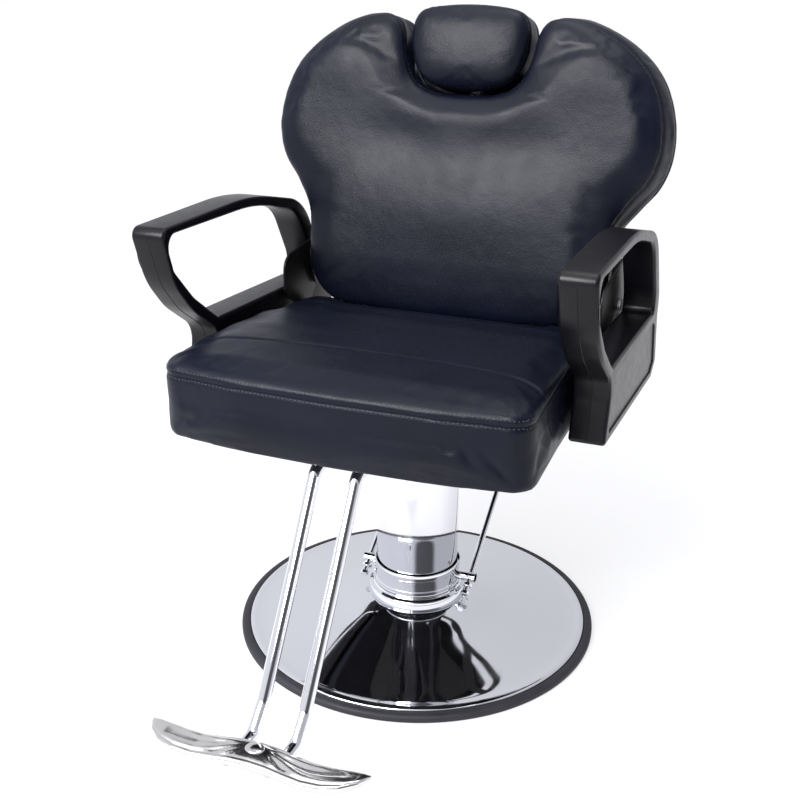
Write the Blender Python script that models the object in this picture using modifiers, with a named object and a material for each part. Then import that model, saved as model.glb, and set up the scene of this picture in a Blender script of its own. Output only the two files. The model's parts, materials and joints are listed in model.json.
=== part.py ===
"""A hydraulic barber chair, as an assembly of separate pieces.

Metres, +Z up. The origin is on the floor, on the swivel axis. The sitter faces -Y,
and +X is the sitter's left. The chair stands at its lowest height, back upright.
"""
import math

import bmesh
import bpy
from mathutils import Matrix, Vector

# ---- driving dimensions -------------------------------------------------------------
GAP = 0.0003                 # air between pieces that touch

BASE_RADIUS = 0.295          # rubber rim of the base
RIM_HEIGHT = 0.0120
DOME_RADIUS = 0.281
FLANGE_RADIUS = 0.080        # ring that clamps the pump to the dome
FLANGE_BOTTOM = 0.0563
FLANGE_TOP = 0.0770
COLLAR_RADIUS = 0.0712       # ring round the bottom of the chrome sleeve
COLLAR_TOP = 0.115
SLEEVE_RADIUS = 0.067
SLEEVE_BOTTOM = 0.097
SLEEVE_TOP = 0.384
CYLINDER_RADIUS = 0.045      # fixed hydraulic cylinder inside the sleeve
CYLINDER_TOP = 0.253
RAM_RADIUS = 0.018

PEDAL_Y = 0.0105             # pedal pivot, on an axis along X
PEDAL_Z = 0.0875
PEDAL_SIDE = 0.0895          # the two pedal rods stand at this x
PEDAL_RISE = math.radians(33)
PEDAL_REACH = 0.325          # pivot to the crossbar the foot presses
PLUNGER_X = 0.055
PLUNGER_ARM = 0.018          # pivot to plunger, so the plunger moves 18 mm per radian
CAM_NOSE = 0.0035            # radius of the nose that presses the plunger

PLATE_BOTTOM = 0.399         # steel seat plate
RAIL_X = 0.115
RAIL_BOTTOM = 0.4045
RAIL_TOP = 0.419
BOARD_BOTTOM = 0.4195        # plywood under the seat cushion
BOARD_THICK = 0.012
BOARD_FRONT = -0.292
BOARD_HALF = 0.240
BOARD_REAR_END = 0.145
SEAT_FRONT = -0.347      # bowed: the corners stand 22 mm further back
SEAT_REAR = 0.160
SEAT_HALF = 0.2675
SEAT_TOP = 0.541
SEAT_LEDGE = 0.4780          # the back's foot stands over this ledge at the rear

ARM_INNER = 0.2733
ARM_OUTER = 0.3252
ARM_FRONT = -0.154            # lower front corner of the armrest
ARM_BOLT = Vector((0, -0.050, 0.466))

RECLINE_Y = 0.1965           # recline hinge, on an axis along X
RECLINE_Z = 0.526
HINGE_PLATE_X = 0.2625       # inner face of the seat's hinge plate
HINGE_PLATE = 0.004

BACK_LEAN = math.radians(14)
BACK_FOOT = Vector((0.0, 0.1085, 0.491))   # foot of the back's seam plane

FOOTBAR_X = 0.0300
FOOTBAR_RADIUS = 0.009
PLATE_HALF = 0.151           # half the footplate's width

LEVER_PIVOT = Vector((-0.250, 0.120, 0.396))

STRUT_FOOT = Vector((0.0, 0.205, 0.401))     # gas spring's lower pivot
STRUT_HEAD = Vector((0.0, 0.24404, 0.56260))  # its upper pivot, back upright

# ---- collections and materials ------------------------------------------------------
for old in list(bpy.data.objects):
    bpy.data.objects.remove(old, do_unlink=True)

PARTS = bpy.data.collections.new("barber_chair")
CUTTERS = bpy.data.collections.new("cutters")
for group in (PARTS, CUTTERS):
    bpy.context.scene.collection.children.link(group)


def material(name, color, roughness, metallic=0.0):
    made = bpy.data.materials.new(name)
    made.use_nodes = True
    shader = made.node_tree.nodes["Principled BSDF"]
    shader.inputs["Base Color"].default_value = (*color, 1.0)
    shader.inputs["Roughness"].default_value = roughness
    shader.inputs["Metallic"].default_value = metallic
    return made


CHROME = material("chrome", (0.80, 0.80, 0.82), 0.06, 1.0)
CAST = material("cast_aluminium", (0.78, 0.78, 0.79), 0.15, 1.0)
STEEL = material("black_steel", (0.03, 0.03, 0.032), 0.45, 0.2)
ZINC = material("zinc_steel", (0.60, 0.60, 0.60), 0.35, 1.0)
RUBBER = material("rubber", (0.035, 0.033, 0.045), 0.65)
SEAL = material("seal", (0.02, 0.02, 0.02), 0.6)
VINYL = material("vinyl", (0.012, 0.014, 0.028), 0.35)
ARM_FOAM = material("arm_foam", (0.014, 0.014, 0.018), 0.45)
WOOD = material("plywood", (0.55, 0.40, 0.24), 0.7)
BLACK_WOOD = material("black_plywood", (0.02, 0.02, 0.022), 0.7)
BRASS = material("bronze", (0.62, 0.45, 0.20), 0.35, 1.0)

# ---- joints: one empty on each axis, carrying the pieces that move ------------------
PIVOT_PLACE = {}


def pivot(name, place, parent=None):
    empty = bpy.data.objects.new(name, None)
    PARTS.objects.link(empty)
    empty.empty_display_size = 0.03
    place = Vector(place)
    PIVOT_PLACE[name] = place
    if parent is None:
        empty.location = place
    else:
        empty.parent = parent
        empty.location = place - PIVOT_PLACE[parent.name]
    return empty


BASE = pivot("base_frame", (0, 0, 0))
LIFT = pivot("lift_axis", (0, 0, 0.380), BASE)
SEAT = pivot("swivel_axis", (0, 0, 0.390), LIFT)
PEDAL = pivot("pedal_axis", (0, PEDAL_Y, PEDAL_Z), BASE)
PLUNGER = pivot("plunger_axis", (PLUNGER_X, PEDAL_Y + PLUNGER_ARM, 0.070), BASE)
BACK = pivot("recline_axis", (0, RECLINE_Y, RECLINE_Z), SEAT)
STRUT = pivot("strut_tilt_axis", STRUT_FOOT, SEAT)
STRUT_ROD = pivot("strut_stroke_axis", STRUT_FOOT, STRUT)
LEVER = pivot("lever_axis", LEVER_PIVOT, SEAT)
HEADREST = pivot("headrest_axis", (0, 0.22, 0.93), BACK)

# ---- modelling helpers --------------------------------------------------------------
IDENTITY = Matrix.Identity(4)


def add(name, data, mat, carrier, matrix=IDENTITY):
    """Put new data in the parts collection, carried by an empty and kept in its place."""
    obj = bpy.data.objects.new(name, data)
    PARTS.objects.link(obj)
    data.materials.append(mat)
    obj.parent = carrier
    obj.matrix_parent_inverse = Matrix.Translation(-PIVOT_PLACE[carrier.name])
    obj.matrix_basis = matrix
    return obj


def from_bmesh(name, bm, mat, carrier, matrix=IDENTITY, smooth=True):
    mesh = bpy.data.meshes.new(name)
    bm.to_mesh(mesh)
    bm.free()
    if smooth:
        mesh.shade_smooth()
        mesh.set_sharp_from_angle(angle=math.radians(35))
    return add(name, mesh, mat, carrier, matrix)


def bevel(obj, width, segments=1):
    mod = obj.modifiers.new("edges", "BEVEL")
    mod.width = width
    mod.segments = segments
    mod.limit_method = "ANGLE"
    mod.angle_limit = math.radians(40)
    return obj


def block_mesh(low, high):
    low, high = Vector(low), Vector(high)
    bm = bmesh.new()
    bmesh.ops.create_cube(bm, size=1.0)
    bmesh.ops.scale(bm, vec=high - low, verts=bm.verts)
    bmesh.ops.translate(bm, vec=(low + high) / 2, verts=bm.verts)
    return bm


def box(name, low, high, mat, carrier, edge=0.0, matrix=IDENTITY):
    obj = from_bmesh(name, block_mesh(low, high), mat, carrier, matrix, smooth=False)
    return bevel(obj, edge) if edge else obj


def cylinder_mesh(start, end, radius, sides):
    """A capped cylinder from one point to the other."""
    start, end = Vector(start), Vector(end)
    along = end - start
    bm = bmesh.new()
    bmesh.ops.create_cone(
        bm, cap_ends=True, segments=sides, radius1=radius, radius2=radius, depth=along.length)
    turn = along.to_track_quat("Z", "Y").to_matrix().to_4x4()
    bmesh.ops.transform(bm, matrix=Matrix.Translation((start + end) / 2) @ turn, verts=bm.verts)
    return bm


def rod(name, start, end, radius, mat, carrier, sides=20, matrix=IDENTITY):
    return from_bmesh(name, cylinder_mesh(start, end, radius, sides), mat, carrier, matrix)


def turned(name, profile, mat, carrier, steps=32, matrix=IDENTITY):
    """A turned piece: the profile is (radius, height), down its outer side."""
    bm = bmesh.new()
    ring = [bm.verts.new((radius, 0.0, height)) for radius, height in profile]
    for first, second in zip(ring, ring[1:]):
        bm.edges.new((first, second))
    if profile[0][0] > 0:
        bm.edges.new((ring[-1], ring[0]))
    obj = from_bmesh(name, bm, mat, carrier, matrix, smooth=False)
    mod = obj.modifiers.new("turn", "SCREW")
    mod.angle = 2 * math.pi
    mod.steps = mod.render_steps = steps
    mod.use_merge_vertices = True
    mod.merge_threshold = 0.00005
    return obj


def washer_profile(inner, outer, low, high):
    return [(outer, high), (outer, low), (inner, low), (inner, high)]


def bar(name, points, radius, mat, carrier, resolution=3):
    """A round bar along the points."""
    curve = bpy.data.curves.new(name, "CURVE")
    curve.dimensions = "3D"
    curve.bevel_depth = radius
    curve.bevel_resolution = resolution
    curve.use_fill_caps = True
    spline = curve.splines.new("POLY")
    spline.points.add(len(points) - 1)
    for point, place in zip(spline.points, points):
        point.co = (*place, 1.0)
    return add(name, curve, mat, carrier)


def plate(name, outlines, thickness, mat, carrier, matrix, edge=0.0):
    """A flat plate; its first outline is the rim and the others are holes."""
    curve = bpy.data.curves.new(name, "CURVE")
    curve.dimensions = "2D"
    curve.fill_mode = "BOTH"
    curve.extrude = thickness / 2
    for outline in outlines:
        spline = curve.splines.new("POLY")
        spline.points.add(len(outline) - 1)
        spline.use_cyclic_u = True
        for point, (x, y) in zip(spline.points, outline):
            point.co = (x, y, 0.0, 1.0)
    obj = as_mesh(add(name, curve, mat, carrier, matrix))
    return bevel(obj, edge) if edge else obj


def as_mesh(curve_obj):
    """The same piece as a closed mesh, which can be bevelled or cut."""
    bpy.context.view_layer.update()
    graph = bpy.context.evaluated_depsgraph_get()
    mesh = bpy.data.meshes.new_from_object(curve_obj.evaluated_get(graph))
    bm = bmesh.new()
    bm.from_mesh(mesh)
    bmesh.ops.remove_doubles(bm, verts=bm.verts, dist=0.00002)
    bmesh.ops.recalc_face_normals(bm, faces=bm.faces)
    bm.to_mesh(mesh)
    bm.free()
    name = curve_obj.name
    made = bpy.data.objects.new(name, mesh)
    PARTS.objects.link(made)
    made.parent = curve_obj.parent
    made.matrix_parent_inverse = curve_obj.matrix_parent_inverse.copy()
    made.matrix_basis = curve_obj.matrix_basis.copy()
    bpy.data.objects.remove(curve_obj, do_unlink=True)
    made.name = name
    mesh.shade_smooth()
    mesh.set_sharp_from_angle(angle=math.radians(35))
    return made


def combine(obj, bm, operation, matrix=IDENTITY):
    """Boolean a helper shape into a piece; the helper stays in the cutters collection."""
    mesh = bpy.data.meshes.new("helper")
    bm.to_mesh(mesh)
    bm.free()
    helper = bpy.data.objects.new(obj.name + "_helper", mesh)
    CUTTERS.objects.link(helper)
    helper.matrix_basis = matrix
    helper.hide_render = True
    helper.display_type = "WIRE"
    mod = obj.modifiers.new(operation.lower(), "BOOLEAN")
    mod.operation = operation
    mod.solver = "EXACT"
    mod.object = helper


def cut(obj, bm, matrix=IDENTITY):
    combine(obj, bm, "DIFFERENCE", matrix)


def weld(obj, bm, matrix=IDENTITY):
    combine(obj, bm, "UNION", matrix)


def drill(obj, start, end, radius, sides=16):
    cut(obj, cylinder_mesh(start, end, radius, sides))


def prism_mesh(outline, low, high):
    """A closed solid with an anticlockwise (x, y) outline, from height low to high."""
    bm = bmesh.new()
    floor = [bm.verts.new((x, y, low)) for x, y in outline]
    roof = [bm.verts.new((x, y, high)) for x, y in outline]
    for k in range(len(outline)):
        following = (k + 1) % len(outline)
        bm.faces.new((floor[k], floor[following], roof[following], roof[k]))
    bm.faces.new(list(reversed(floor)))
    bm.faces.new(roof)
    return bm


def circle(centre, radius, sides=20):
    turn = 2 * math.pi / sides
    return [(centre[0] + radius * math.cos(k * turn), centre[1] + radius * math.sin(k * turn))
            for k in range(sides)]


def rounded(corners, steps=3):
    """A closed outline from (x, y, radius) corners, each turned with an arc."""
    outline = []
    count = len(corners)
    for k, (x, y, radius) in enumerate(corners):
        corner = Vector((x, y))
        before = (Vector(corners[k - 1][:2]) - corner).normalized()
        after = (Vector(corners[(k + 1) % count][:2]) - corner).normalized()
        if radius <= 0:
            outline.append(tuple(corner))
            continue
        half = before.angle(after) / 2
        back_off = radius / math.tan(half)
        centre = corner + (before + after).normalized() * radius / math.sin(half)
        first = corner + before * back_off - centre
        last = corner + after * back_off - centre
        sweep = first.angle_signed(last)
        for j in range(steps + 1):
            spoke = first.copy()
            spoke.rotate(Matrix.Rotation(-sweep * j / steps, 2))
            outline.append(tuple(centre + spoke))
    return outline


def bent(points, radius, steps=5):
    """A path through 3-D corners, each turned with an arc of one radius."""
    points = [Vector(p) for p in points]
    path = [points[0]]
    for before, corner, after in zip(points, points[1:], points[2:]):
        to_before = (before - corner).normalized()
        to_after = (after - corner).normalized()
        half = to_before.angle(to_after) / 2
        back_off = radius / math.tan(half)
        centre = corner + (to_before + to_after).normalized() * radius / math.sin(half)
        first = corner + to_before * back_off - centre
        last = corner + to_after * back_off - centre
        sweep = first.angle(last)
        axis = first.cross(last).normalized()
        for j in range(steps + 1):
            path.append(centre + Matrix.Rotation(sweep * j / steps, 3, axis) @ first)
    path.append(points[-1])
    return path


def smooth_closed(points, steps=2):
    """A closed Catmull-Rom curve through the points."""
    count = len(points)
    outline = []
    for k in range(count):
        p0, p1, p2, p3 = (Vector(points[(k + j) % count]) for j in (-1, 0, 1, 2))
        for j in range(steps):
            t = j / steps
            bend = (2 * p1 + (p2 - p0) * t + (2 * p0 - 5 * p1 + 4 * p2 - p3) * t * t
                    + (3 * p1 - p0 - 3 * p2 + p3) * t * t * t)
            outline.append(tuple(bend / 2))
    return outline


def inset(outline, distance):
    """The outline (anticlockwise) moved inwards by a distance."""
    count = len(outline)
    moved = []
    for k in range(count):
        ahead = Vector(outline[(k + 1) % count]) - Vector(outline[k - 1])
        inward = Vector((-ahead.y, ahead.x)).normalized()
        moved.append(tuple(Vector(outline[k]) + inward * distance))
    return moved


def facing_x(x):
    """Places a flat outline of (y, z) points in the plane across X."""
    return Matrix(((0, 0, 1, x), (1, 0, 0, 0), (0, 1, 0, 0), (0, 0, 0, 1)))


def back_matrix(depth=0.0):
    """Places (x, height up the back, depth) coordinates; depth grows towards the sitter."""
    up = Vector((0, math.sin(BACK_LEAN), math.cos(BACK_LEAN)))
    forward = Vector((0, -math.cos(BACK_LEAN), math.sin(BACK_LEAN)))
    place = BACK_FOOT + forward * depth
    return Matrix(((1, up.x, forward.x, place.x), (0, up.y, forward.y, place.y),
                   (0, up.z, forward.z, place.z), (0, 0, 0, 1)))


SIDES = (("left", 1), ("right", -1))


# ---- base ---------------------------------------------------------------------------
def build_base():
    groove = DOME_RADIUS + 0.0006
    turned("base_rim_trim", [
        (groove, RIM_HEIGHT), (0.2900, RIM_HEIGHT), (0.2935, 0.0105), (BASE_RADIUS, 0.0075),
        (BASE_RADIUS, 0.0020), (0.2930, 0.0), (0.2680, 0.0), (0.2680, 0.0030),
        (groove, 0.0030)], RUBBER, BASE, steps=48)

    slope = [(FLANGE_RADIUS - 0.0045, 0.0560), (0.100, 0.0500), (0.140, 0.0390),
             (0.200, 0.0260), (0.255, 0.0165), (0.276, 0.0132), (DOME_RADIUS, 0.0105)]
    outer = slope + [(DOME_RADIUS, 0.0033)]
    inner = [(DOME_RADIUS - 0.0016, 0.0033)]
    inner += [(radius - 0.0005, height - 0.0018) for radius, height in reversed(slope)]
    turned("base_dome", outer + inner, CHROME, BASE, steps=48)

    turned("base_ballast_plate", washer_profile(0.085, 0.2670, 0.0010, 0.0085),
           STEEL, BASE)
    turned("pump_block", [(0, 0.0155), (0.054, 0.0155), (0.054, 0.0040), (0.053, 0.0030),
                          (0, 0.0030)], STEEL, BASE)
    turned("pump_cylinder", washer_profile(0.0362, CYLINDER_RADIUS, 0.0158, CYLINDER_TOP),
           STEEL, BASE, steps=24)
    turned("cylinder_gland_nut", [
        (RAM_RADIUS + 0.0005, CYLINDER_TOP + 0.018), (0.040, CYLINDER_TOP + 0.018),
        (0.0475, CYLINDER_TOP + 0.013),
        (0.0475, CYLINDER_TOP + GAP), (RAM_RADIUS + 0.0005, CYLINDER_TOP + GAP)],
        ZINC, BASE, steps=24)
    turned("ram_seal", washer_profile(RAM_RADIUS + GAP, 0.0240, CYLINDER_TOP + 0.0183,
                                      CYLINDER_TOP + 0.022), SEAL, BASE, steps=24)

    flange = turned("pump_flange", [
        (CYLINDER_RADIUS + GAP, FLANGE_TOP), (FLANGE_RADIUS - 0.003, FLANGE_TOP),
        (FLANGE_RADIUS, FLANGE_TOP - 0.006), (FLANGE_RADIUS + 0.0015, FLANGE_BOTTOM),
        (CYLINDER_RADIUS + GAP, FLANGE_BOTTOM)],
        CAST, BASE)
    collar = turned("pump_collar", washer_profile(
        SLEEVE_RADIUS + 0.0020, COLLAR_RADIUS, FLANGE_TOP + GAP, COLLAR_TOP),
        CHROME, BASE)
    for side, sign in SIDES:
        drill(collar, (sign * 0.040, PEDAL_Y, PEDAL_Z), (sign * 0.100, PEDAL_Y, PEDAL_Z), 0.0085,
              sides=20)
    bore = Vector((PLUNGER_X, PEDAL_Y + PLUNGER_ARM, 0))
    drill(flange, bore + Vector((0, 0, FLANGE_BOTTOM - 0.005)),
          bore + Vector((0, 0, FLANGE_TOP + 0.005)), 0.0045)


def build_pump_lift():
    turned("pump_ram", [(0, 0.4120), (RAM_RADIUS - 0.001, 0.4120), (RAM_RADIUS, 0.4105),
                        (RAM_RADIUS, 0.0400), (0.0357, 0.0400), (0.0357, 0.0225), (0, 0.0225)],
           CHROME, LIFT, steps=24)
    turned("pump_sleeve", [
        (RAM_RADIUS + GAP, SLEEVE_TOP + 0.004), (SLEEVE_RADIUS - 0.001, SLEEVE_TOP + 0.004),
        (SLEEVE_RADIUS, SLEEVE_TOP + 0.003), (SLEEVE_RADIUS, SLEEVE_BOTTOM),
        (SLEEVE_RADIUS - 0.002, SLEEVE_BOTTOM), (SLEEVE_RADIUS - 0.002, SLEEVE_TOP),
        (RAM_RADIUS + GAP, SLEEVE_TOP)], CHROME, LIFT)
    turned("swivel_bearing", washer_profile(RAM_RADIUS + 0.0007, 0.030, 0.3885, 0.3933),
           BRASS, LIFT, steps=24)


# ---- pump pedal ---------------------------------------------------------------------
def build_pedal():
    along = Vector((0, math.cos(PEDAL_RISE), math.sin(PEDAL_RISE)))
    centre = Vector((0, PEDAL_Y, PEDAL_Z))
    cross = centre + along * PEDAL_REACH
    for side, sign in SIDES:
        place = Vector((sign * PEDAL_SIDE, 0, 0)) + centre
        pin = rod("pedal_pin_" + side, (sign * 0.0492, PEDAL_Y, PEDAL_Z),
                  (sign * 0.0990, PEDAL_Y, PEDAL_Z), 0.008, CHROME, PEDAL, sides=20)
        drill(pin, place - along * 0.012, place + along * 0.012, 0.0050 + GAP)
        if side == "left":
            inner, outer = PLUNGER_X - 0.0040, PLUNGER_X + 0.0040
            nose_y = PEDAL_Y + PLUNGER_ARM
            weld(pin, block_mesh((inner, PEDAL_Y, PEDAL_Z - CAM_NOSE),
                                 (outer, nose_y, PEDAL_Z + CAM_NOSE)))
            weld(pin, cylinder_mesh((inner, nose_y, PEDAL_Z), (outer, nose_y, PEDAL_Z), CAM_NOSE, 20))
        arm = rod("pedal_rod_" + side, place - along * 0.0285,
                  place + along * (PEDAL_REACH - 0.0098), 0.005, CHROME, PEDAL, sides=14)
        weld(arm, cylinder_mesh(place - along * 0.0340, place - along * 0.0270, 0.0068, 6))
    rod("pump_plunger", (PLUNGER_X, PEDAL_Y + PLUNGER_ARM, FLANGE_BOTTOM + 0.004),
        (PLUNGER_X, PEDAL_Y + PLUNGER_ARM, PEDAL_Z - CAM_NOSE - GAP), 0.0040, ZINC, PLUNGER, sides=14)
    reach = PEDAL_SIDE + 0.012
    rod("pedal_crossbar", (-reach, cross.y, cross.z), (reach, cross.y, cross.z), 0.0095,
        CHROME, PEDAL, sides=20)
    turned("pedal_grip", washer_profile(0.0098, 0.0140, -0.062, 0.062), RUBBER, PEDAL, steps=24,
           matrix=Matrix.Translation(cross) @ Matrix.Rotation(math.pi / 2, 4, "Y"))


# ---- seat frame ---------------------------------------------------------------------
def build_seat_frame():
    turned("swivel_hub", [(0, 0.4185), (0.0300, 0.4185), (0.0300, 0.3987), (0.0480, 0.3987),
                          (0.0480, 0.3937), (RAM_RADIUS + 0.0006, 0.3937),
                          (RAM_RADIUS + 0.0006, 0.4128), (0, 0.4128)], ZINC, SEAT, steps=32)
    seat_plate = box("seat_plate", (-0.128, -0.100, PLATE_BOTTOM),
                     (0.128, 0.100, RAIL_BOTTOM - 0.0005), STEEL, SEAT, edge=0.0015)
    drill(seat_plate, (0, 0, 0.38), (0, 0, 0.42), 0.0303, sides=32)
    for side, sign in SIDES:
        middle = sign * RAIL_X
        box("seat_rail_" + side, (middle - 0.010, -0.200, RAIL_BOTTOM),
            (middle + 0.010, 0.1717, RAIL_TOP), STEEL, SEAT, edge=0.002)
    inner_rail = RAIL_X - 0.0103
    box("seat_cross_front", (-inner_rail, -0.124, RAIL_BOTTOM), (inner_rail, -0.106, RAIL_TOP),
        STEEL, SEAT, edge=0.002)
    cross = box("seat_cross_rear", (-HINGE_PLATE_X + GAP, 0.1720, RAIL_BOTTOM),
                (HINGE_PLATE_X - GAP, 0.1860, RAIL_TOP), STEEL, SEAT, edge=0.002)
    ear = rounded([
        (0.1840, RAIL_BOTTOM + 0.001, 0.0), (STRUT_FOOT.y - 0.008, STRUT_FOOT.z - 0.009, 0.004),
        (STRUT_FOOT.y + 0.009, STRUT_FOOT.z - 0.009, 0.006),
        (STRUT_FOOT.y + 0.009, STRUT_FOOT.z + 0.009, 0.006), (0.1840, RAIL_TOP - 0.003, 0.0)])
    for side, sign in SIDES:
        weld(cross, prism_mesh(ear, -0.0018, 0.0018), facing_x(sign * 0.0140))
    drill(cross, STRUT_FOOT - Vector((0.03, 0, 0)), STRUT_FOOT + Vector((0.03, 0, 0)), 0.0043)
    plate("seat_board", [board_outline()], BOARD_THICK, BLACK_WOOD, SEAT,
          Matrix.Translation((0, 0, BOARD_BOTTOM + BOARD_THICK / 2)))


def board_outline(margin=0.0):
    """Plan of the board under the seat, anticlockwise."""
    side = BOARD_HALF + margin
    front, rear = BOARD_FRONT - margin, BOARD_REAR_END + margin
    return rounded([(-side, front, 0.050), (side, front, 0.050), (side, rear, 0.010),
                    (-side, rear, 0.010)])


def bolt(name, face, direction, radius, length, carrier, head_height=0.0045):
    """A hex bolt whose head sits behind a face and whose shank goes on along direction."""
    direction = Vector(direction).normalized()
    turn = direction.to_track_quat("Z", "Y").to_matrix().to_4x4()
    bm = bmesh.new()
    sides = 12
    head = radius * 1.75
    rings = [(head, -head_height), (head, 0.0), (radius, 0.0), (radius, length)]
    loops = []
    for ring_radius, height in rings:
        loop = []
        for k in range(sides):
            angle = 2 * math.pi * k / sides
            flat = 0.93 if ring_radius == head and k % 2 else 1.0
            spoke = ring_radius * flat
            loop.append(bm.verts.new((spoke * math.cos(angle), spoke * math.sin(angle), height)))
        loops.append(loop)
    for lower, upper in zip(loops, loops[1:]):
        for k in range(sides):
            following = (k + 1) % sides
            bm.faces.new((lower[k], lower[following], upper[following], upper[k]))
    bm.faces.new(list(reversed(loops[0])))
    bm.faces.new(loops[-1])
    matrix = Matrix.Translation(Vector(face)) @ turn
    return from_bmesh(name, bm, ZINC, carrier, matrix)


def build_seat_cushion():
    half = rounded([
        (0.0, SEAT_FRONT, 0.0), (0.150, SEAT_FRONT + 0.005, 0.250),
        (SEAT_HALF + 0.003, SEAT_FRONT + 0.022, 0.036), (SEAT_HALF, ARM_FRONT - 0.015, 0.20),
        (SEAT_HALF, SEAT_REAR, 0.02), (0.0, SEAT_REAR, 0.0)])
    outline = half + [(-x, y) for x, y in reversed(half) if x > 0.001]
    middle = (BOARD_BOTTOM + SEAT_TOP) / 2
    cushion = plate("seat_cushion", [outline], SEAT_TOP - BOARD_BOTTOM, VINYL, SEAT,
                    Matrix.Translation((0, 0, middle)), edge=0.014)
    cut(cushion, prism_mesh(board_outline(0.0005), BOARD_BOTTOM - 0.01,
                            BOARD_BOTTOM + BOARD_THICK + GAP))
    for side, sign in SIDES:
        inner, outer = sorted((sign * 0.2635, sign * 0.29))
        cut(cushion, block_mesh((inner, ARM_BOLT.y - 0.026, 0.40), (outer, ARM_BOLT.y + 0.026, 0.493)))
        drill(cushion, ARM_BOLT + Vector((sign * 0.2585, 0, 0)),
              ARM_BOLT + Vector((sign * 0.28, 0, 0)), 0.0085)
    slope = math.atan2(0.021, 0.135)
    wedge = block_mesh((-0.30, 0.0, 0.0), (0.30, 0.25, 0.06))
    cut(cushion, wedge, Matrix.Translation((0, -0.05, SEAT_TOP)) @ Matrix.Rotation(-slope, 4, "X"))
    cut(cushion, block_mesh((-0.30, 0.090, SEAT_LEDGE), (0.30, 0.20, 0.56)))


# ---- armrests -----------------------------------------------------------------------
def build_armrests():
    rim = rounded([
        (-0.277, 0.7030, 0.014), (-0.010, 0.7005, 0.600), (0.168, 0.6580, 0.110),
        (0.2360, 0.5400, 0.050), (0.2320, 0.5060, 0.040), (0.2530, 0.4210, 0.008),
        (0.2180, 0.4010, 0.008), (ARM_FRONT, 0.4310, 0.006), (-0.1300, 0.5160, 0.040),
        (-0.2050, 0.5690, 0.140), (-0.2480, 0.6180, 0.120)])
    hole = rounded([
        (-0.2560, 0.6910, 0.018), (0.000, 0.6830, 0.500), (0.140, 0.6460, 0.080),
        (0.1950, 0.5500, 0.050), (0.1920, 0.5200, 0.010), (-0.1330, 0.5390, 0.022),
        (-0.1990, 0.5880, 0.120), (-0.2550, 0.6480, 0.055)])
    middle = (ARM_INNER + ARM_OUTER) / 2
    for side, sign in SIDES:
        arm = plate("armrest_" + side, [rim, hole], ARM_OUTER - ARM_INNER, ARM_FOAM, SEAT,
                    facing_x(sign * middle), edge=0.005)
        drill(arm, ARM_BOLT + Vector((sign * 0.268, 0, 0)), ARM_BOLT + Vector((sign * 0.303, 0, 0)),
              0.0043)
        bolt("arm_bolt_" + side, ARM_BOLT + Vector((sign * (0.2640 - GAP), 0, 0)), (sign, 0, 0),
             0.0040, 0.036, SEAT)


def build_arm_brackets():
    """Steel angles under the board that carry the armrests' front bolts."""
    for side, sign in SIDES:
        profile = [(RAIL_X + 0.0103, RAIL_TOP - 0.0045), (0.2685, RAIL_TOP - 0.0045), (0.2685, 0.491),
                   (0.2640, 0.491), (0.2640, RAIL_TOP), (RAIL_X + 0.0103, RAIL_TOP)]
        outline = [(sign * x, z) for x, z in profile]
        if sign < 0:
            outline.reverse()
        standing = Matrix(((1, 0, 0, 0), (0, 0, -1, ARM_BOLT.y), (0, 1, 0, 0), (0, 0, 0, 1)))
        bracket = plate("arm_bracket_" + side, [outline], 0.050, STEEL, SEAT, standing)
        drill(bracket, ARM_BOLT + Vector((sign * 0.25, 0, 0)), ARM_BOLT + Vector((sign * 0.28, 0, 0)),
              0.0043)


# ---- recline hinges -----------------------------------------------------------------
def build_hinges():
    seat_side = rounded([
        (0.1640, RAIL_BOTTOM, 0.0), (0.2130, RAIL_BOTTOM, 0.0), (0.2580, 0.4900, 0.030),
        (0.2620, 0.5720, 0.030), (0.1080, 0.5720, 0.025), (0.1080, 0.4930, 0.0),
        (0.1640, 0.4850, 0.0)])
    foot_height, foot_depth = 0.0553, -0.0769
    back_side = rounded([
        (0.0340, -0.1000, 0.014), (0.1500, -0.1040, 0.010), (0.1500, -0.0300, 0.0),
        (0.0800, -0.0240, 0.030), (0.0360, -0.0500, 0.014)])
    for side, sign in SIDES:
        plate("seat_hinge_plate_" + side, [seat_side, circle((RECLINE_Y, RECLINE_Z), 0.0063)],
              HINGE_PLATE, STEEL, SEAT, facing_x(sign * (HINGE_PLATE_X + HINGE_PLATE / 2)))
        # in the back's own frame, seen from the side: (height, depth) across X
        side_on = back_matrix() @ Matrix((
            (0, 0, 1, sign * 0.2570), (1, 0, 0, 0), (0, 1, 0, 0), (0, 0, 0, 1)))
        plate("back_hinge_plate_" + side,
              [back_side, circle((foot_height, foot_depth), 0.0064)],
              HINGE_PLATE, STEEL, BACK, side_on)
        head_x = sign * (HINGE_PLATE_X + HINGE_PLATE + GAP)
        bolt("recline_bolt_" + side, (head_x, RECLINE_Y, RECLINE_Z), (-sign, 0, 0), 0.0060, 0.0110,
             SEAT)


# ---- back ---------------------------------------------------------------------------
HEART_HALF = [
    (0.040, 0.004), (0.130, 0.010), (0.192, 0.028), (0.228, 0.066), (0.243, 0.112),
    (0.256, 0.161), (0.280, 0.207), (0.308, 0.245), (0.321, 0.290), (0.317, 0.345),
    (0.295, 0.400), (0.255, 0.442), (0.200, 0.472), (0.152, 0.484), (0.123, 0.479),
    (0.107, 0.455), (0.101, 0.418), (0.083, 0.382), (0.040, 0.364)]
HEART = smooth_closed(HEART_HALF + [(-x, s) for x, s in reversed(HEART_HALF)])
CUSHION_FRONT = 0.012
CUSHION_REAR = -0.045
BOARD_REAR = -0.0575
COVER_REAR = -0.079


def back_slab(name, outline, rear, front, mat, edge=0.0, carrier=None):
    return plate(name, [outline], front - rear, mat, carrier or BACK,
                 back_matrix((front + rear) / 2), edge)


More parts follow.
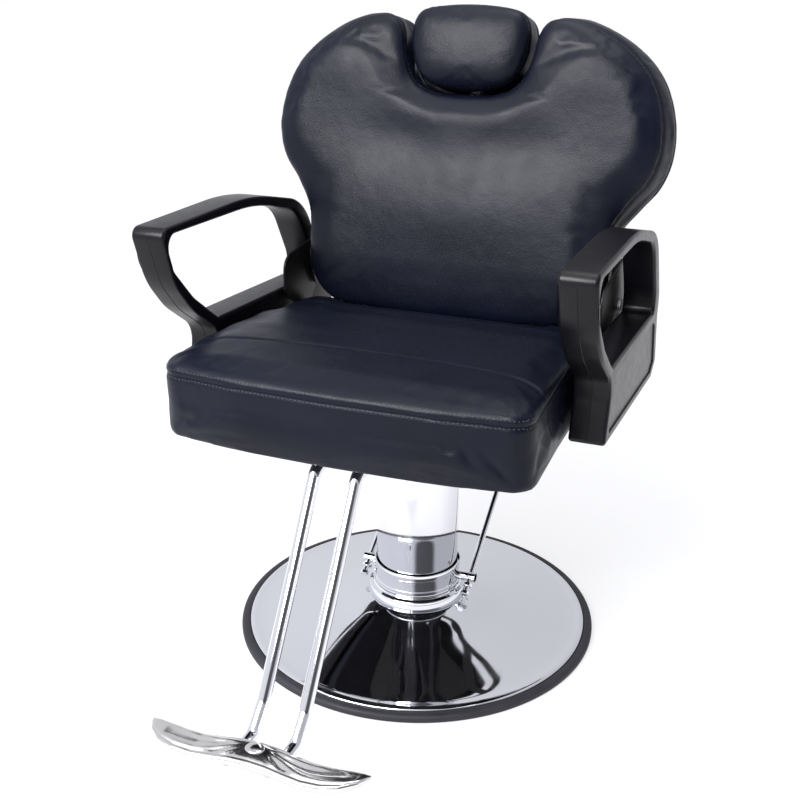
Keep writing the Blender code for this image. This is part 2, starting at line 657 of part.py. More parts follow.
def build_back():
    back_slab("back_cushion", HEART, CUSHION_REAR, CUSHION_FRONT, VINYL, edge=0.012)
    back_slab("back_board", inset(HEART, 0.004), BOARD_REAR, CUSHION_REAR - GAP, WOOD)
    cover = back_slab("back_rear_cover", HEART, COVER_REAR, CUSHION_REAR - GAP, VINYL)
    # a lip of the cover closes the foot of the notch behind the headrest
    weld(cover, prism_mesh([(-0.082, 0.345), (0.082, 0.345), (0.082, 0.400), (-0.082, 0.400)],
                           COVER_REAR, COVER_REAR + 0.0100), back_matrix())
    cavity = prism_mesh(inset(HEART, 0.0035), COVER_REAR + 0.003, CUSHION_REAR + 0.004)
    cut(cover, cavity, back_matrix())
    cut(cover, block_mesh((-0.0165, 0.345, -0.0725), (0.0165, 0.390, BOARD_REAR - GAP)),
        back_matrix())

    strut = back_matrix().inverted() @ STRUT_HEAD
    bar_low, bar_high = 0.085, 0.115
    cross = box("back_cross_bar", (-0.2548, bar_low, -0.0970), (0.2548, bar_high, COVER_REAR - GAP),
                STEEL, BACK, edge=0.002, matrix=back_matrix())
    ear = rounded([
        (strut.y + 0.010, -0.0950, 0.0), (strut.y - 0.010, -0.0950, 0.0),
        (strut.y - 0.009, strut.z - 0.009, 0.006), (strut.y + 0.009, strut.z - 0.009, 0.006)])
    for side, sign in SIDES:
        weld(cross, prism_mesh(ear, -0.0018, 0.0018), back_matrix() @ facing_x(sign * 0.0095))
    drill(cross, STRUT_HEAD - Vector((0.02, 0, 0)), STRUT_HEAD + Vector((0.02, 0, 0)), 0.0033)


def build_headrest():
    outline = smooth_closed([
        (0.040, 0.370), (0.074, 0.383), (0.091, 0.410), (0.098, 0.445), (0.092, 0.478),
        (0.068, 0.494), (0.0, 0.499), (-0.068, 0.494), (-0.092, 0.478), (-0.098, 0.445),
        (-0.091, 0.410), (-0.074, 0.383), (-0.040, 0.370)])
    board_front = CUSHION_REAR - 0.002
    board_rear = board_front - 0.0147
    back_slab("headrest_cushion", outline, board_front + GAP, CUSHION_FRONT, VINYL, edge=0.012,
              carrier=HEADREST)
    back_slab("headrest_board", inset(outline, 0.004), board_rear, board_front, WOOD,
              carrier=HEADREST)
    frame = back_matrix()
    post_front = board_rear - GAP
    post_rear = post_front - 0.0057
    box("headrest_post", (-0.0120, 0.200, post_rear), (0.0120, 0.470, post_front), CHROME, HEADREST,
        edge=0.001, matrix=frame)
    guide = box("headrest_guide", (-0.0160, 0.190, post_rear - 0.0040),
                (0.0160, 0.330, BOARD_REAR - 0.0007), STEEL, BACK, edge=0.001, matrix=frame)
    channel = block_mesh((-0.0124, 0.18, post_rear - 0.0004), (0.0124, 0.34, post_front + 0.0004))
    cut(guide, channel, frame)


# ---- gas spring ---------------------------------------------------------------------
def build_strut():
    along = (STRUT_HEAD - STRUT_FOOT).normalized()
    reach = (STRUT_HEAD - STRUT_FOOT).length
    tilt = math.atan2(along.y, along.z)
    frame = Matrix.Translation(STRUT_FOOT) @ Matrix.Rotation(-tilt, 4, "X")
    body = rod("strut_cylinder", (0, 0, 0), (0, 0, 0.100), 0.0110, STEEL, STRUT, 20, frame)
    cut(body, cylinder_mesh((0, 0, 0.030), (0, 0, 0.110), 0.0046, 16), frame)
    cut(body, block_mesh((-0.02, -0.02, -0.02), (0.02, 0.02, 0.0090)), frame)
    weld(body, cylinder_mesh((-0.0110, 0, 0), (0.0110, 0, 0), 0.0092, 20), frame)
    drill(body, STRUT_FOOT - Vector((0.02, 0, 0)), STRUT_FOOT + Vector((0.02, 0, 0)), 0.0043)
    shaft = rod("strut_rod", (0, 0, 0.064), (0, 0, reach - 0.0060), 0.0042, CHROME, STRUT_ROD, 16,
                frame)
    weld(shaft, cylinder_mesh((-0.0060, 0, reach), (0.0060, 0, reach), 0.0080, 20), frame)
    drill(shaft, STRUT_HEAD - Vector((0.02, 0, 0)), STRUT_HEAD + Vector((0.02, 0, 0)), 0.0052)
    rod("strut_pin_lower", STRUT_FOOT - Vector((0.0185, 0, 0)), STRUT_FOOT + Vector((0.0185, 0, 0)),
        0.0040, ZINC, SEAT, 16)
    rod("strut_pin_upper", STRUT_HEAD - Vector((0.0135, 0, 0)), STRUT_HEAD + Vector((0.0135, 0, 0)),
        0.0030, ZINC, BACK, 16)


def build_lever():
    """Release lever for the back, under the sitter's right armrest."""
    x, y, z = LEVER_PIVOT
    bracket = box("lever_bracket", (x - 0.001, y - 0.020, z - 0.012),
                  (x + 0.004, y + 0.020, BOARD_BOTTOM - GAP), STEEL, SEAT, edge=0.001)
    drill(bracket, (x - 0.01, y, z), (x + 0.01, y, z), 0.0053)
    end = Vector((-0.2980, -0.030, z - 0.024))
    path = bent([(x + 0.018, y, z), (end.x, y, z), end], 0.014)
    bar("recline_lever", path, 0.0045, CHROME, LEVER, 2)
    along = (end - Vector((end.x, y, z))).normalized()
    turn = along.to_track_quat("Z", "Y").to_matrix().to_4x4()
    turned("lever_knob", [(0, 0.040), (0.006, 0.0385), (0.009, 0.034), (0.0085, 0.012),
                          (0.006, 0.0), (0, 0.0)], RUBBER, LEVER, steps=20,
           matrix=Matrix.Translation(end + along * GAP) @ turn)


# ---- footrest -----------------------------------------------------------------------
def build_footrest():
    path = bent([(0, -0.135, 0.4095), (0, -0.318, 0.4095), (0, -0.395, 0.291),
                 (0, -0.492, 0.151), (0, -0.522, 0.1235), (0, -0.578, 0.1235)], 0.022)
    for side, sign in SIDES:
        bar("footrest_bar_" + side, [p + Vector((sign * FOOTBAR_X, 0, 0)) for p in path],
            FOOTBAR_RADIUS, CHROME, SEAT)
        bolt("footplate_screw_" + side, (sign * 0.0287, -0.592, 0.1335), (0, 0, 1), 0.0030, 0.0060,
             SEAT, head_height=0.0035)
    box("footrest_clamp", (-0.062, -0.250, 0.3955), (0.062, -0.150, 0.4000), STEEL, SEAT, edge=0.001)
    build_footplate()


# one side of the footplate: x, rear y, front y, top z, bottom z
FOOTPLATE = [
    (0.000, -0.5560, -0.6000, 0.1470, 0.1342), (0.025, -0.5565, -0.6005, 0.1462, 0.1340),
    (0.050, -0.5600, -0.6030, 0.1445, 0.1338), (0.075, -0.5630, -0.6055, 0.1438, 0.1325),
    (0.100, -0.5640, -0.6045, 0.1450, 0.1322), (0.125, -0.5630, -0.5960, 0.1465, 0.1345),
    (0.142, -0.5600, -0.5820, 0.1460, 0.1365), (PLATE_HALF, -0.5590, -0.5660, 0.1440, 0.1390)]


def build_footplate():
    """Cast wing: sections across X, each with a crowned top."""
    stations = [(-x, *rest) for x, *rest in reversed(FOOTPLATE[1:])] + FOOTPLATE
    bm = bmesh.new()
    loops = []
    for x, rear, front, top, bottom in stations:
        depth = rear - front
        edge = (top - bottom) * 0.35
        section = [(rear - depth * 0.06, bottom), (rear, bottom + edge),
                   (rear - depth * 0.03, top - 0.002), (rear - depth * 0.35, top),
                   (front + depth * 0.30, top),
                   (front + depth * 0.03, top - 0.002), (front, bottom + edge),
                   (front + depth * 0.06, bottom)]
        loops.append([bm.verts.new((x, y, z)) for y, z in section])
    for here, there in zip(loops, loops[1:]):
        for k in range(len(here)):
            following = (k + 1) % len(here)
            bm.faces.new((here[k], there[k], there[following], here[following]))
    bm.faces.new(loops[0])
    bm.faces.new(list(reversed(loops[-1])))
    bmesh.ops.recalc_face_normals(bm, faces=bm.faces)
    obj = from_bmesh("footplate", bm, CAST, SEAT)
    for sign in (1, -1):
        drill(obj, (sign * 0.0287, -0.592, 0.130), (sign * 0.0287, -0.592, 0.1405), 0.0033)


build_base()
build_pump_lift()
build_pedal()
build_seat_frame()
build_seat_cushion()
build_armrests()
build_arm_brackets()
build_hinges()
build_back()
build_headrest()
build_strut()
build_lever()
build_footrest()
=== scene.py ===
"""The looks of the hydraulic barber chair: upholstery, mouldings, chrome, light and camera.

Metres: the origin is on the floor on the swivel axis, +Z up, the sitter faces -Y and +X is
the sitter's left. Upholstery, armrests, hinge covers, base, sleeve, pedal, footrest and
lever are made here, each in the place of its CAD nodes. Boards, bolts, rails, the strut, the
headrest's post and the inside of the pump keep their CAD shape and only get a finish.
"""
import json
import math

import bmesh
import bpy
from mathutils import Matrix, Vector
from mathutils.bvhtree import BVHTree
from mathutils.kdtree import KDTree


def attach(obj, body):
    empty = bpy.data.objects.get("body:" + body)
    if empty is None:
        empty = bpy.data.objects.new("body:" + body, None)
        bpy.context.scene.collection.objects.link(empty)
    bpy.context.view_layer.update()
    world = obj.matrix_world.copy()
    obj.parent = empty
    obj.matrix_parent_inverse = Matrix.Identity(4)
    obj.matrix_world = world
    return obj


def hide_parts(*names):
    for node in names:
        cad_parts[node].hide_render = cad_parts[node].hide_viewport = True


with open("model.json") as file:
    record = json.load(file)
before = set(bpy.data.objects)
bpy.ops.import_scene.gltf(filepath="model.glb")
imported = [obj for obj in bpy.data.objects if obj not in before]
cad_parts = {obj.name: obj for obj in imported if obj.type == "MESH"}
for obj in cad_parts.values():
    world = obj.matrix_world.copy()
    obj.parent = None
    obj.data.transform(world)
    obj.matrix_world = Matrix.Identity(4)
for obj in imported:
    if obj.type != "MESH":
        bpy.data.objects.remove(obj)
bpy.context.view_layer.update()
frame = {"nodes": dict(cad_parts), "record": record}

# ---- dimensions shared with part.py --------------------------------------------------
GAP = 0.0003                                  # clearance between neighbouring pieces
BASE_RADIUS = 0.295
RIM_HEIGHT = 0.0120
DOME_RADIUS = 0.281
FLANGE_RADIUS = 0.080
FLANGE_BOTTOM = 0.0563
FLANGE_TOP = 0.0770
COLLAR_RADIUS = 0.0712
COLLAR_TOP = 0.115
SLEEVE_RADIUS = 0.067
SLEEVE_BOTTOM = 0.097
SLEEVE_TOP = 0.384
RAM_RADIUS = 0.018
CYLINDER_RADIUS = 0.045
PEDAL_Y = 0.0105
PEDAL_Z = 0.0875
PEDAL_SIDE = 0.0895
PEDAL_RISE = math.radians(33)
PEDAL_REACH = 0.325
ARM_INNER = 0.2733
ARM_OUTER = 0.3252
HINGE_INNER = 0.2627
HINGE_OUTER = 0.2664
FOOTBAR_X = 0.0300
FOOTBAR_RADIUS = 0.009
BACK_LEAN = math.radians(14)
BACK_FOOT = Vector((0.0, 0.1085, 0.491))     # foot of the back's seam plane
CUSHION_REAR = -0.045                        # depths behind that plane
COVER_REAR = -0.079
LEVER_PIVOT = Vector((-0.250, 0.120, 0.396))
SEAT_FLOOR = 0.4205
SEAT_HALF_WIDTH = 0.265
SIDES = (("left", 1), ("right", -1))


# ---- material helpers ----------------------------------------------------------------
def set_inputs(node, **values):
    """Set a node's inputs, which are named with underscores for spaces."""
    for socket, value in values.items():
        node.inputs[socket.replace("_", " ")].default_value = value


def shader_of(mat):
    return mat.node_tree.nodes["Principled BSDF"]


def principled(name, color, roughness, metallic=0.0, **sockets):
    """A new material; sockets are further inputs of its shader."""
    mat = bpy.data.materials.new(name)
    mat.use_nodes = True
    set_inputs(shader_of(mat), Base_Color=(*color, 1.0), Roughness=roughness,
               Metallic=metallic, **sockets)
    return mat


def texture(mat, kind, scale, stretch=(1, 1, 1), **sockets):
    """A 3-D texture in the piece's own metres: scale is how many features to a metre."""
    tree = mat.node_tree
    place = tree.nodes.new("ShaderNodeTexCoord")
    mapping = tree.nodes.new("ShaderNodeMapping")
    set_inputs(mapping, Scale=stretch)
    tree.links.new(place.outputs["Object"], mapping.inputs["Vector"])
    node = tree.nodes.new("ShaderNodeTex" + kind)
    tree.links.new(mapping.outputs["Vector"], node.inputs["Vector"])
    set_inputs(node, Scale=scale, **sockets)
    return node


def link_ramp(tree, source, target, stops):
    """Send a value to a colour input through a ramp of two (position, colour) stops."""
    ramp = tree.nodes.new("ShaderNodeValToRGB")
    for element, (position, color) in zip(ramp.color_ramp.elements, stops):
        element.position = position
        element.color = (*color, 1.0)
    tree.links.new(source, ramp.inputs["Fac"])
    tree.links.new(ramp.outputs["Color"], target)
    return ramp.color_ramp


def vary_color(mat, source, dark, light):
    link_ramp(mat.node_tree, source, shader_of(mat).inputs["Base Color"],
              ((0.3, dark), (0.7, light)))


def vary_roughness(mat, source, low, high):
    spread = mat.node_tree.nodes.new("ShaderNodeMapRange")
    set_inputs(spread, From_Min=0.3, From_Max=0.7, To_Min=low, To_Max=high)
    mat.node_tree.links.new(source, spread.inputs["Value"])
    mat.node_tree.links.new(spread.outputs["Result"], shader_of(mat).inputs["Roughness"])


def raise_bumps(mat, source, distance, strength=1.0, under=None):
    """Bumps on a shader's normal; under is an earlier bump that these sit on."""
    bump = mat.node_tree.nodes.new("ShaderNodeBump")
    set_inputs(bump, Distance=distance, Strength=strength)
    mat.node_tree.links.new(source, bump.inputs["Height"])
    if under is not None:
        mat.node_tree.links.new(under.outputs["Normal"], bump.inputs["Normal"])
    mat.node_tree.links.new(bump.outputs["Normal"], shader_of(mat).inputs["Normal"])
    return bump


# ---- materials -----------------------------------------------------------------------
def faux_leather(name, shine):
    """Navy-black PVC hide with pebbled grain, soft dents and rubbed, glossier patches."""
    mat = principled(name, (0.003, 0.004, 0.011), 0.36, IOR=1.47, Specular_IOR_Level=shine)
    cloudy = texture(mat, "Noise", 7.0, Detail=3.0)
    vary_color(mat, cloudy.outputs["Fac"], (0.0018, 0.0026, 0.0074), (0.0030, 0.0042, 0.0114))
    rubbed = texture(mat, "Noise", 22.0, Detail=4.0)
    vary_roughness(mat, rubbed.outputs["Fac"], 0.33, 0.43)
    dents = texture(mat, "Noise", 34.0, Detail=2.0)
    soft = raise_bumps(mat, dents.outputs["Fac"], 0.0022, 0.35)
    pebbles = texture(mat, "Voronoi", 620.0, Randomness=1.0)
    raise_bumps(mat, pebbles.outputs["Distance"], 0.0005, 0.30, under=soft)
    return mat


def skin_foam():
    """Satin self-skinned polyurethane of the armrests."""
    mat = principled("skin_foam", (0.003, 0.003, 0.004), 0.30, IOR=1.48,
                     Specular_IOR_Level=0.23)
    cloudy = texture(mat, "Noise", 9.0, Detail=2.0)
    vary_color(mat, cloudy.outputs["Fac"], (0.0024, 0.0023, 0.0036), (0.0042, 0.0040, 0.0060))
    scuffs = texture(mat, "Noise", 70.0, Detail=3.0)
    vary_roughness(mat, scuffs.outputs["Fac"], 0.28, 0.34)
    grain = texture(mat, "Noise", 900.0, Detail=2.0)
    raise_bumps(mat, grain.outputs["Fac"], 0.0002, 0.30)
    return mat


def mirror_chrome(name, color, roughness, ripple):
    mat = principled(name, color, roughness, 1.0)
    haze = texture(mat, "Noise", 40.0, Detail=5.0)
    vary_roughness(mat, haze.outputs["Fac"], roughness * 0.6, roughness * 1.5)
    waves = texture(mat, "Noise", 14.0, Detail=1.0)
    raise_bumps(mat, waves.outputs["Fac"], ripple, 0.25)
    return mat


def moulded_rubber():
    mat = principled("moulded_rubber", (0.020, 0.020, 0.028), 0.62, IOR=1.5)
    dust = texture(mat, "Noise", 30.0, Detail=6.0)
    vary_color(mat, dust.outputs["Fac"], (0.009, 0.009, 0.013), (0.018, 0.018, 0.025))
    vary_roughness(mat, dust.outputs["Fac"], 0.52, 0.72)
    grain = texture(mat, "Noise", 700.0, Detail=2.0)
    raise_bumps(mat, grain.outputs["Fac"], 0.0004, 0.4)
    return mat


def powder_coat():
    mat = principled("powder_coat", (0.005, 0.005, 0.006), 0.44, Specular_IOR_Level=0.22)
    cloudy = texture(mat, "Noise", 25.0, Detail=4.0)
    vary_color(mat, cloudy.outputs["Fac"], (0.0035, 0.0035, 0.0040), (0.0065, 0.0065, 0.0072))
    peel = texture(mat, "Noise", 480.0, Detail=1.0)
    raise_bumps(mat, peel.outputs["Fac"], 0.0004, 0.5)
    return mat


def bare_metal(name, dark, light, low, high):
    """Plated or machined metal with fine turning marks."""
    mat = principled(name, light, low, 1.0)
    cloudy = texture(mat, "Noise", 45.0, Detail=4.0)
    vary_color(mat, cloudy.outputs["Fac"], dark, light)
    marks = texture(mat, "Noise", 90.0, stretch=(1, 1, 14), Detail=3.0)
    vary_roughness(mat, marks.outputs["Fac"], low, high)
    raise_bumps(mat, marks.outputs["Fac"], 0.0002, 0.3)
    return mat


def plywood(name, dark, light, shine):
    mat = principled(name, light, 0.70, Specular_IOR_Level=shine)
    grain = texture(mat, "Noise", 9.0, stretch=(1, 9, 60), Detail=8.0, Distortion=0.4)
    vary_color(mat, grain.outputs["Fac"], dark, light)
    vary_roughness(mat, grain.outputs["Fac"], 0.62, 0.80)
    raise_bumps(mat, grain.outputs["Fac"], 0.0005, 0.4)
    return mat


def sewing_thread():
    mat = principled("sewing_thread", (0.04, 0.04, 0.055), 0.55, Specular_IOR_Level=0.40)
    twist = texture(mat, "Wave", 900.0)
    vary_color(mat, twist.outputs["Fac"], (0.026, 0.026, 0.036), (0.058, 0.058, 0.076))
    raise_bumps(mat, twist.outputs["Fac"], 0.0002, 0.5)
    return mat


LEATHER = faux_leather("faux_leather", 0.20)
FOAM = skin_foam()
CHROME = mirror_chrome("mirror_chrome", (0.80, 0.805, 0.84), 0.045, 0.00012)
CAST = mirror_chrome("polished_casting", (0.72, 0.705, 0.69), 0.13, 0.00045)
RUBBER = moulded_rubber()
BLACK_STEEL = powder_coat()
ZINC = bare_metal("zinc_plate", (0.46, 0.46, 0.47), (0.66, 0.66, 0.67), 0.28, 0.42)
BRONZE = bare_metal("bronze_ring", (0.45, 0.31, 0.13), (0.64, 0.46, 0.21), 0.28, 0.40)
WOOD = plywood("stained_plywood", (0.002, 0.002, 0.003), (0.006, 0.006, 0.008), 0.06)
THREAD = sewing_thread()
# A less shiny, darker copy of the leather for the seam beads: the line it draws in each seam
# groove is painted shade.
SEAM_SHADE = faux_leather("seam_shade_leather", 0.10)

FINISHES = {
    "rubber": RUBBER, "chrome": CHROME, "cast_aluminium": CAST, "black_steel": BLACK_STEEL,
    "zinc_steel": ZINC, "seal": RUBBER, "bronze": BRONZE, "vinyl": LEATHER,
    "arm_foam": FOAM, "plywood": WOOD, "black_plywood": WOOD}

for part in frame["record"]["subparts"]:
    cad_mesh = frame["nodes"][part["node"]].data
    cad_mesh.materials.clear()
    cad_mesh.materials.append(FINISHES[part["material_slot"]])


# ---- mesh helpers --------------------------------------------------------------------
def piece_from(name, bm, mat, body, stands_for=(), sharp=38):
    """A finished piece: it rides on a body and stands for the CAD nodes named."""
    mesh = bpy.data.meshes.new(name)
    bm.normal_update()
    bm.to_mesh(mesh)
    bm.free()
    return dress(bpy.data.objects.new(name, mesh), mat, body, stands_for, sharp)


def dress(obj, mat, body, stands_for=(), sharp=38):
    """Give an object its material, shading (sharp edges above an angle) and body, and hide the
    CAD nodes it stands for.
    """
    if obj.name not in bpy.context.scene.collection.objects:
        bpy.context.scene.collection.objects.link(obj)
    obj.data.materials.clear()
    obj.data.materials.append(mat)
    obj.data.shade_smooth()
    if sharp:
        obj.data.set_sharp_from_angle(angle=math.radians(sharp))
    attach(obj, body)
    if stands_for:
        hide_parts(*stands_for)
    return obj


def in_scene(name, data):
    obj = bpy.data.objects.new(name, data)
    bpy.context.scene.collection.objects.link(obj)
    return obj


def evaluated_mesh(obj):
    """The object's mesh with its modifiers applied, as a new mesh."""
    bpy.context.view_layer.update()
    graph = bpy.context.evaluated_depsgraph_get()
    return bpy.data.meshes.new_from_object(obj.evaluated_get(graph))


def apply_modifiers(obj):
    mesh = evaluated_mesh(obj)
    obj.modifiers.clear()
    old = obj.data
    obj.data = mesh
    bpy.data.meshes.remove(old)
    return obj


def subdivide(obj):
    mod = obj.modifiers.new("finer", "SUBSURF")
    mod.levels = mod.render_levels = 1
    return apply_modifiers(obj)


def join_rings(bm, rings):
    """Faces between each closed ring of vertices and the next."""
    for here, there in zip(rings, rings[1:]):
        for k in range(len(here)):
            after = (k + 1) % len(here)
            bm.faces.new((here[k], here[after], there[after], there[k]))


def revolve(bm, profile, steps=96, matrix=None):
    """A ring of faces from (radius, height) points, closed when it ends off the axis."""
    rows = []
    for radius, height in profile:
        if radius < 1e-6:
            rows.append([bm.verts.new((0, 0, height))])
            continue
        rows.append([bm.verts.new((radius * math.cos(turn), radius * math.sin(turn), height))
                     for turn in (2 * math.pi * k / steps for k in range(steps))])
    closed = profile[0][0] > 1e-6 and profile[-1][0] > 1e-6
    pairs = list(zip(rows, rows[1:])) + ([(rows[-1], rows[0])] if closed else [])
    for upper, lower in pairs:
        for k in range(steps):
            following = (k + 1) % steps
            corners = [upper[k % len(upper)], upper[following % len(upper)],
                       lower[following % len(lower)], lower[k % len(lower)]]
            unique = [v for j, v in enumerate(corners) if v not in corners[:j]]
            if len(unique) > 2:
                bm.faces.new(unique)
    if matrix is not None:
        bmesh.ops.transform(bm, matrix=matrix, verts=[v for row in rows for v in row])
    bmesh.ops.recalc_face_normals(bm, faces=bm.faces)


def turned(name, profile, mat, body, stands_for=(), steps=96, matrix=None):
    """A finished piece from one revolved profile."""
    bm = bmesh.new()
    revolve(bm, profile, steps, matrix)
    return piece_from(name, bm, mat, body, stands_for)


def softened(profile, radius, steps=3):
    """A (radius, height) profile with each inner corner turned by a small arc."""
    points = [Vector(p) for p in profile]
    smooth = [points[0]]
    for before, corner, after in zip(points, points[1:], points[2:]):
        reach = min(radius, (before - corner).length * 0.45, (after - corner).length * 0.45)
        first = corner + (before - corner).normalized() * reach
        last = corner + (after - corner).normalized() * reach
        for j in range(steps + 1):
            t = j / steps
            smooth.append(first * (1 - t) ** 2 + corner * 2 * t * (1 - t) + last * t * t)
    smooth.append(points[-1])
    return [tuple(p) for p in smooth]


def through(points, steps=6, closed=False):
    """A Catmull-Rom curve through the points."""
    points = [Vector(p) for p in points]
    last = len(points) - 1
    curve = []
    for k in range(last + 1 if closed else last):
        around = range(k - 1, k + 3)
        if closed:
            p0, p1, p2, p3 = (points[j % len(points)] for j in around)
        else:
            p0, p1, p2, p3 = (points[min(max(j, 0), last)] for j in around)
        for j in range(steps):
            t = j / steps
            curve.append((2 * p1 + (p2 - p0) * t + (2 * p0 - 5 * p1 + 4 * p2 - p3) * t * t
                          + (3 * p1 - p0 - 3 * p2 + p3) * t * t * t) / 2)
    if not closed:
        curve.append(points[-1])
    return curve


def bent(points, radius, steps=10):
    """A path through 3-D corners, each turned with an arc of one radius."""
    points = [Vector(p) for p in points]
    path = [points[0]]
    for before, corner, after in zip(points, points[1:], points[2:]):
        to_before = (before - corner).normalized()
        to_after = (after - corner).normalized()
        half = to_before.angle(to_after) / 2
        back_off = radius / math.tan(half)
        centre = corner + (to_before + to_after).normalized() * radius / math.sin(half)
        first = corner + to_before * back_off - centre
        last = corner + to_after * back_off - centre
        sweep = first.angle(last)
        axis = first.cross(last).normalized()
        path += [centre + Matrix.Rotation(sweep * j / steps, 3, axis) @ first
                 for j in range(steps + 1)]
    path.append(points[-1])
    return path


def rounded(corners, steps=8):
    """A closed outline from (x, y, radius) corners, each turned with an arc."""
    outline = []
    for k, (x, y, radius) in enumerate(corners):
        corner = Vector((x, y))
        before = (Vector(corners[k - 1][:2]) - corner).normalized()
        after = (Vector(corners[(k + 1) % len(corners)][:2]) - corner).normalized()
        if radius <= 0:
            outline.append(corner)
            continue
        half = before.angle(after) / 2
        back_off = radius / math.tan(half)
        centre = corner + (before + after).normalized() * radius / math.sin(half)
        first = corner + before * back_off - centre
        sweep = first.angle_signed(corner + after * back_off - centre)
        for j in range(steps + 1):
            spoke = first.copy()
            spoke.rotate(Matrix.Rotation(-sweep * j / steps, 2))
            outline.append(centre + spoke)
    return outline


def tube(bm, path, radius, sides=24, caps=True):
    """A round bar along a path, its ends slightly chamfered."""
    path = [Vector(p) for p in path]
    ahead = [(path[min(k + 1, len(path) - 1)] - path[max(k - 1, 0)]).normalized()
             for k in range(len(path))]
    side = ahead[0].orthogonal().normalized()
    rings = []
    for k, (place, along) in enumerate(zip(path, ahead)):
        side = (side - along * side.dot(along)).normalized()
        other = along.cross(side)
        spokes = [side * math.cos(turn) + other * math.sin(turn)
                  for turn in (2 * math.pi * j / sides for j in range(sides))]
        rings.append([bm.verts.new(place + spoke * radius) for spoke in spokes])
    join_rings(bm, rings)
    if caps:
        chamfer = min(0.0008, radius * 0.2)
        for end, out in ((0, -ahead[0]), (-1, ahead[-1])):
            ring, place = rings[end], path[end]
            lip = [bm.verts.new(place + (v.co - place) * (1 - chamfer / radius)) for v in ring]
            for v in ring:
                v.co -= out * chamfer
            join_rings(bm, [ring, lip])
            bm.faces.new(lip)
    bmesh.ops.recalc_face_normals(bm, faces=bm.faces)


def prism(bm, outline, low, high):
    """A closed solid from an (x, y) outline; returns its lower and upper rings."""
    floor = [bm.verts.new((p[0], p[1], low)) for p in outline]
    roof = [bm.verts.new((p[0], p[1], high)) for p in outline]
    join_rings(bm, [floor, roof])
    bm.faces.new(list(reversed(floor)))
    bm.faces.new(roof)
    bmesh.ops.recalc_face_normals(bm, faces=bm.faces)
    return floor, roof


def round_ring(bm, ring, radius, segments=4):
    """Round the edges round a prism's floor or roof."""
    members = set(ring)
    edges = [e for e in bm.edges if e.verts[0] in members and e.verts[1] in members]
    bmesh.ops.bevel(bm, geom=edges, offset=radius, segments=segments, profile=0.5,
                    affect="EDGES", clamp_overlap=True)


def smooth_step(value):
    value = min(max(value, 0.0), 1.0)
    return value * value * (3 - 2 * value)


def between(value, table):
    """Read a smooth value from a table of (position, value) rows."""
    if value <= table[0][0]:
        return table[0][1]
    for (a, first), (b, second) in zip(table, table[1:]):
        if value <= b:
            t = (value - a) / (b - a)
            return first + (second - first) * t * t * (3 - 2 * t)
    return table[-1][1]


# ---- upholstery helpers --------------------------------------------------------------
def remeshed(name, bm, voxel):
    """A new object whose even mesh follows the shape in bm."""
    mesh = bpy.data.meshes.new(name)
    bm.to_mesh(mesh)
    bm.free()
    obj = in_scene(name, mesh)
    mod = obj.modifiers.new("even", "REMESH")
    mod.mode = "VOXEL"
    mod.voxel_size = voxel
    return apply_modifiers(obj)


def reshape(obj, move):
    """Move every vertex to move(its place)."""
    for vertex in obj.data.vertices:
        vertex.co = move(vertex.co.copy())
    obj.data.update()


def stuff(obj, held, cap, pressure=4.0, frames=20):
    """Fill a closed cover by cloth simulation: held(place) is 1 where it is fixed to its
    board, and no point moves more than cap. The result is left in the mesh."""
    rest = [v.co.copy() for v in obj.data.vertices]
    group = obj.vertex_groups.new(name="held")
    for k, place in enumerate(rest):
        weight = held(place)
        if weight > 0:
            group.add([k], weight, "REPLACE")
    scene = bpy.context.scene
    scene.frame_set(1)
    mod = obj.modifiers.new("cloth", "CLOTH")
    cloth = mod.settings
    cloth.quality = 5
    cloth.mass = 0.3
    cloth.tension_stiffness = 15
    cloth.compression_stiffness = 15
    cloth.shear_stiffness = 5
    cloth.bending_stiffness = 0.6
    cloth.use_pressure = True
    cloth.uniform_pressure_force = pressure
    cloth.vertex_group_mass = "held"
    cloth.effector_weights.gravity = 0.0
    mod.point_cache.frame_start = 1
    mod.point_cache.frame_end = frames
    for step in range(1, frames + 1):
        scene.frame_set(step)
    swollen = evaluated_mesh(obj)
    obj.modifiers.clear()
    obj.vertex_groups.clear()
    for vertex, before, after in zip(obj.data.vertices, rest, swollen.vertices):
        moved = after.co - before
        if moved.length > cap:
            moved *= cap / moved.length
        vertex.co = before + moved
    bpy.data.meshes.remove(swollen)
    scene.frame_set(1)
    return subdivide(obj)


def evenly(path, pitch):
    """The path as points a pitch apart."""
    path = [Vector(p) for p in path]
    out = [path[0]]
    carry = 0.0
    for a, b in zip(path, path[1:]):
        length = (b - a).length
        reach = pitch - carry
        while reach <= length:
            out.append(a.lerp(b, reach / length))
            reach += pitch
        carry = length - (reach - pitch)
    return out


def laid(obj, path, pitch=0.002):
    """The path on the surface of a piece, as (place, normal) pairs a pitch apart."""
    tree = BVHTree.FromPolygons([v.co for v in obj.data.vertices],
                                [tuple(p.vertices) for p in obj.data.polygons])
    found = []
    for point in evenly(path, pitch):
        place, normal, _, _ = tree.find_nearest(point)
        found.append((place, normal))
    return found


def press_seam(obj, line, width, depth):
    """Pull the cover in along a seam line of (place, normal) pairs."""
    tree = nearest_on([place for place, _ in line])
    for vertex in obj.data.vertices:
        _, k, distance = tree.find(vertex.co)
        if distance < width:
            pull = (1 - (distance / width) ** 2) ** 2
            vertex.co -= line[k][1] * depth * pull
    obj.data.update()


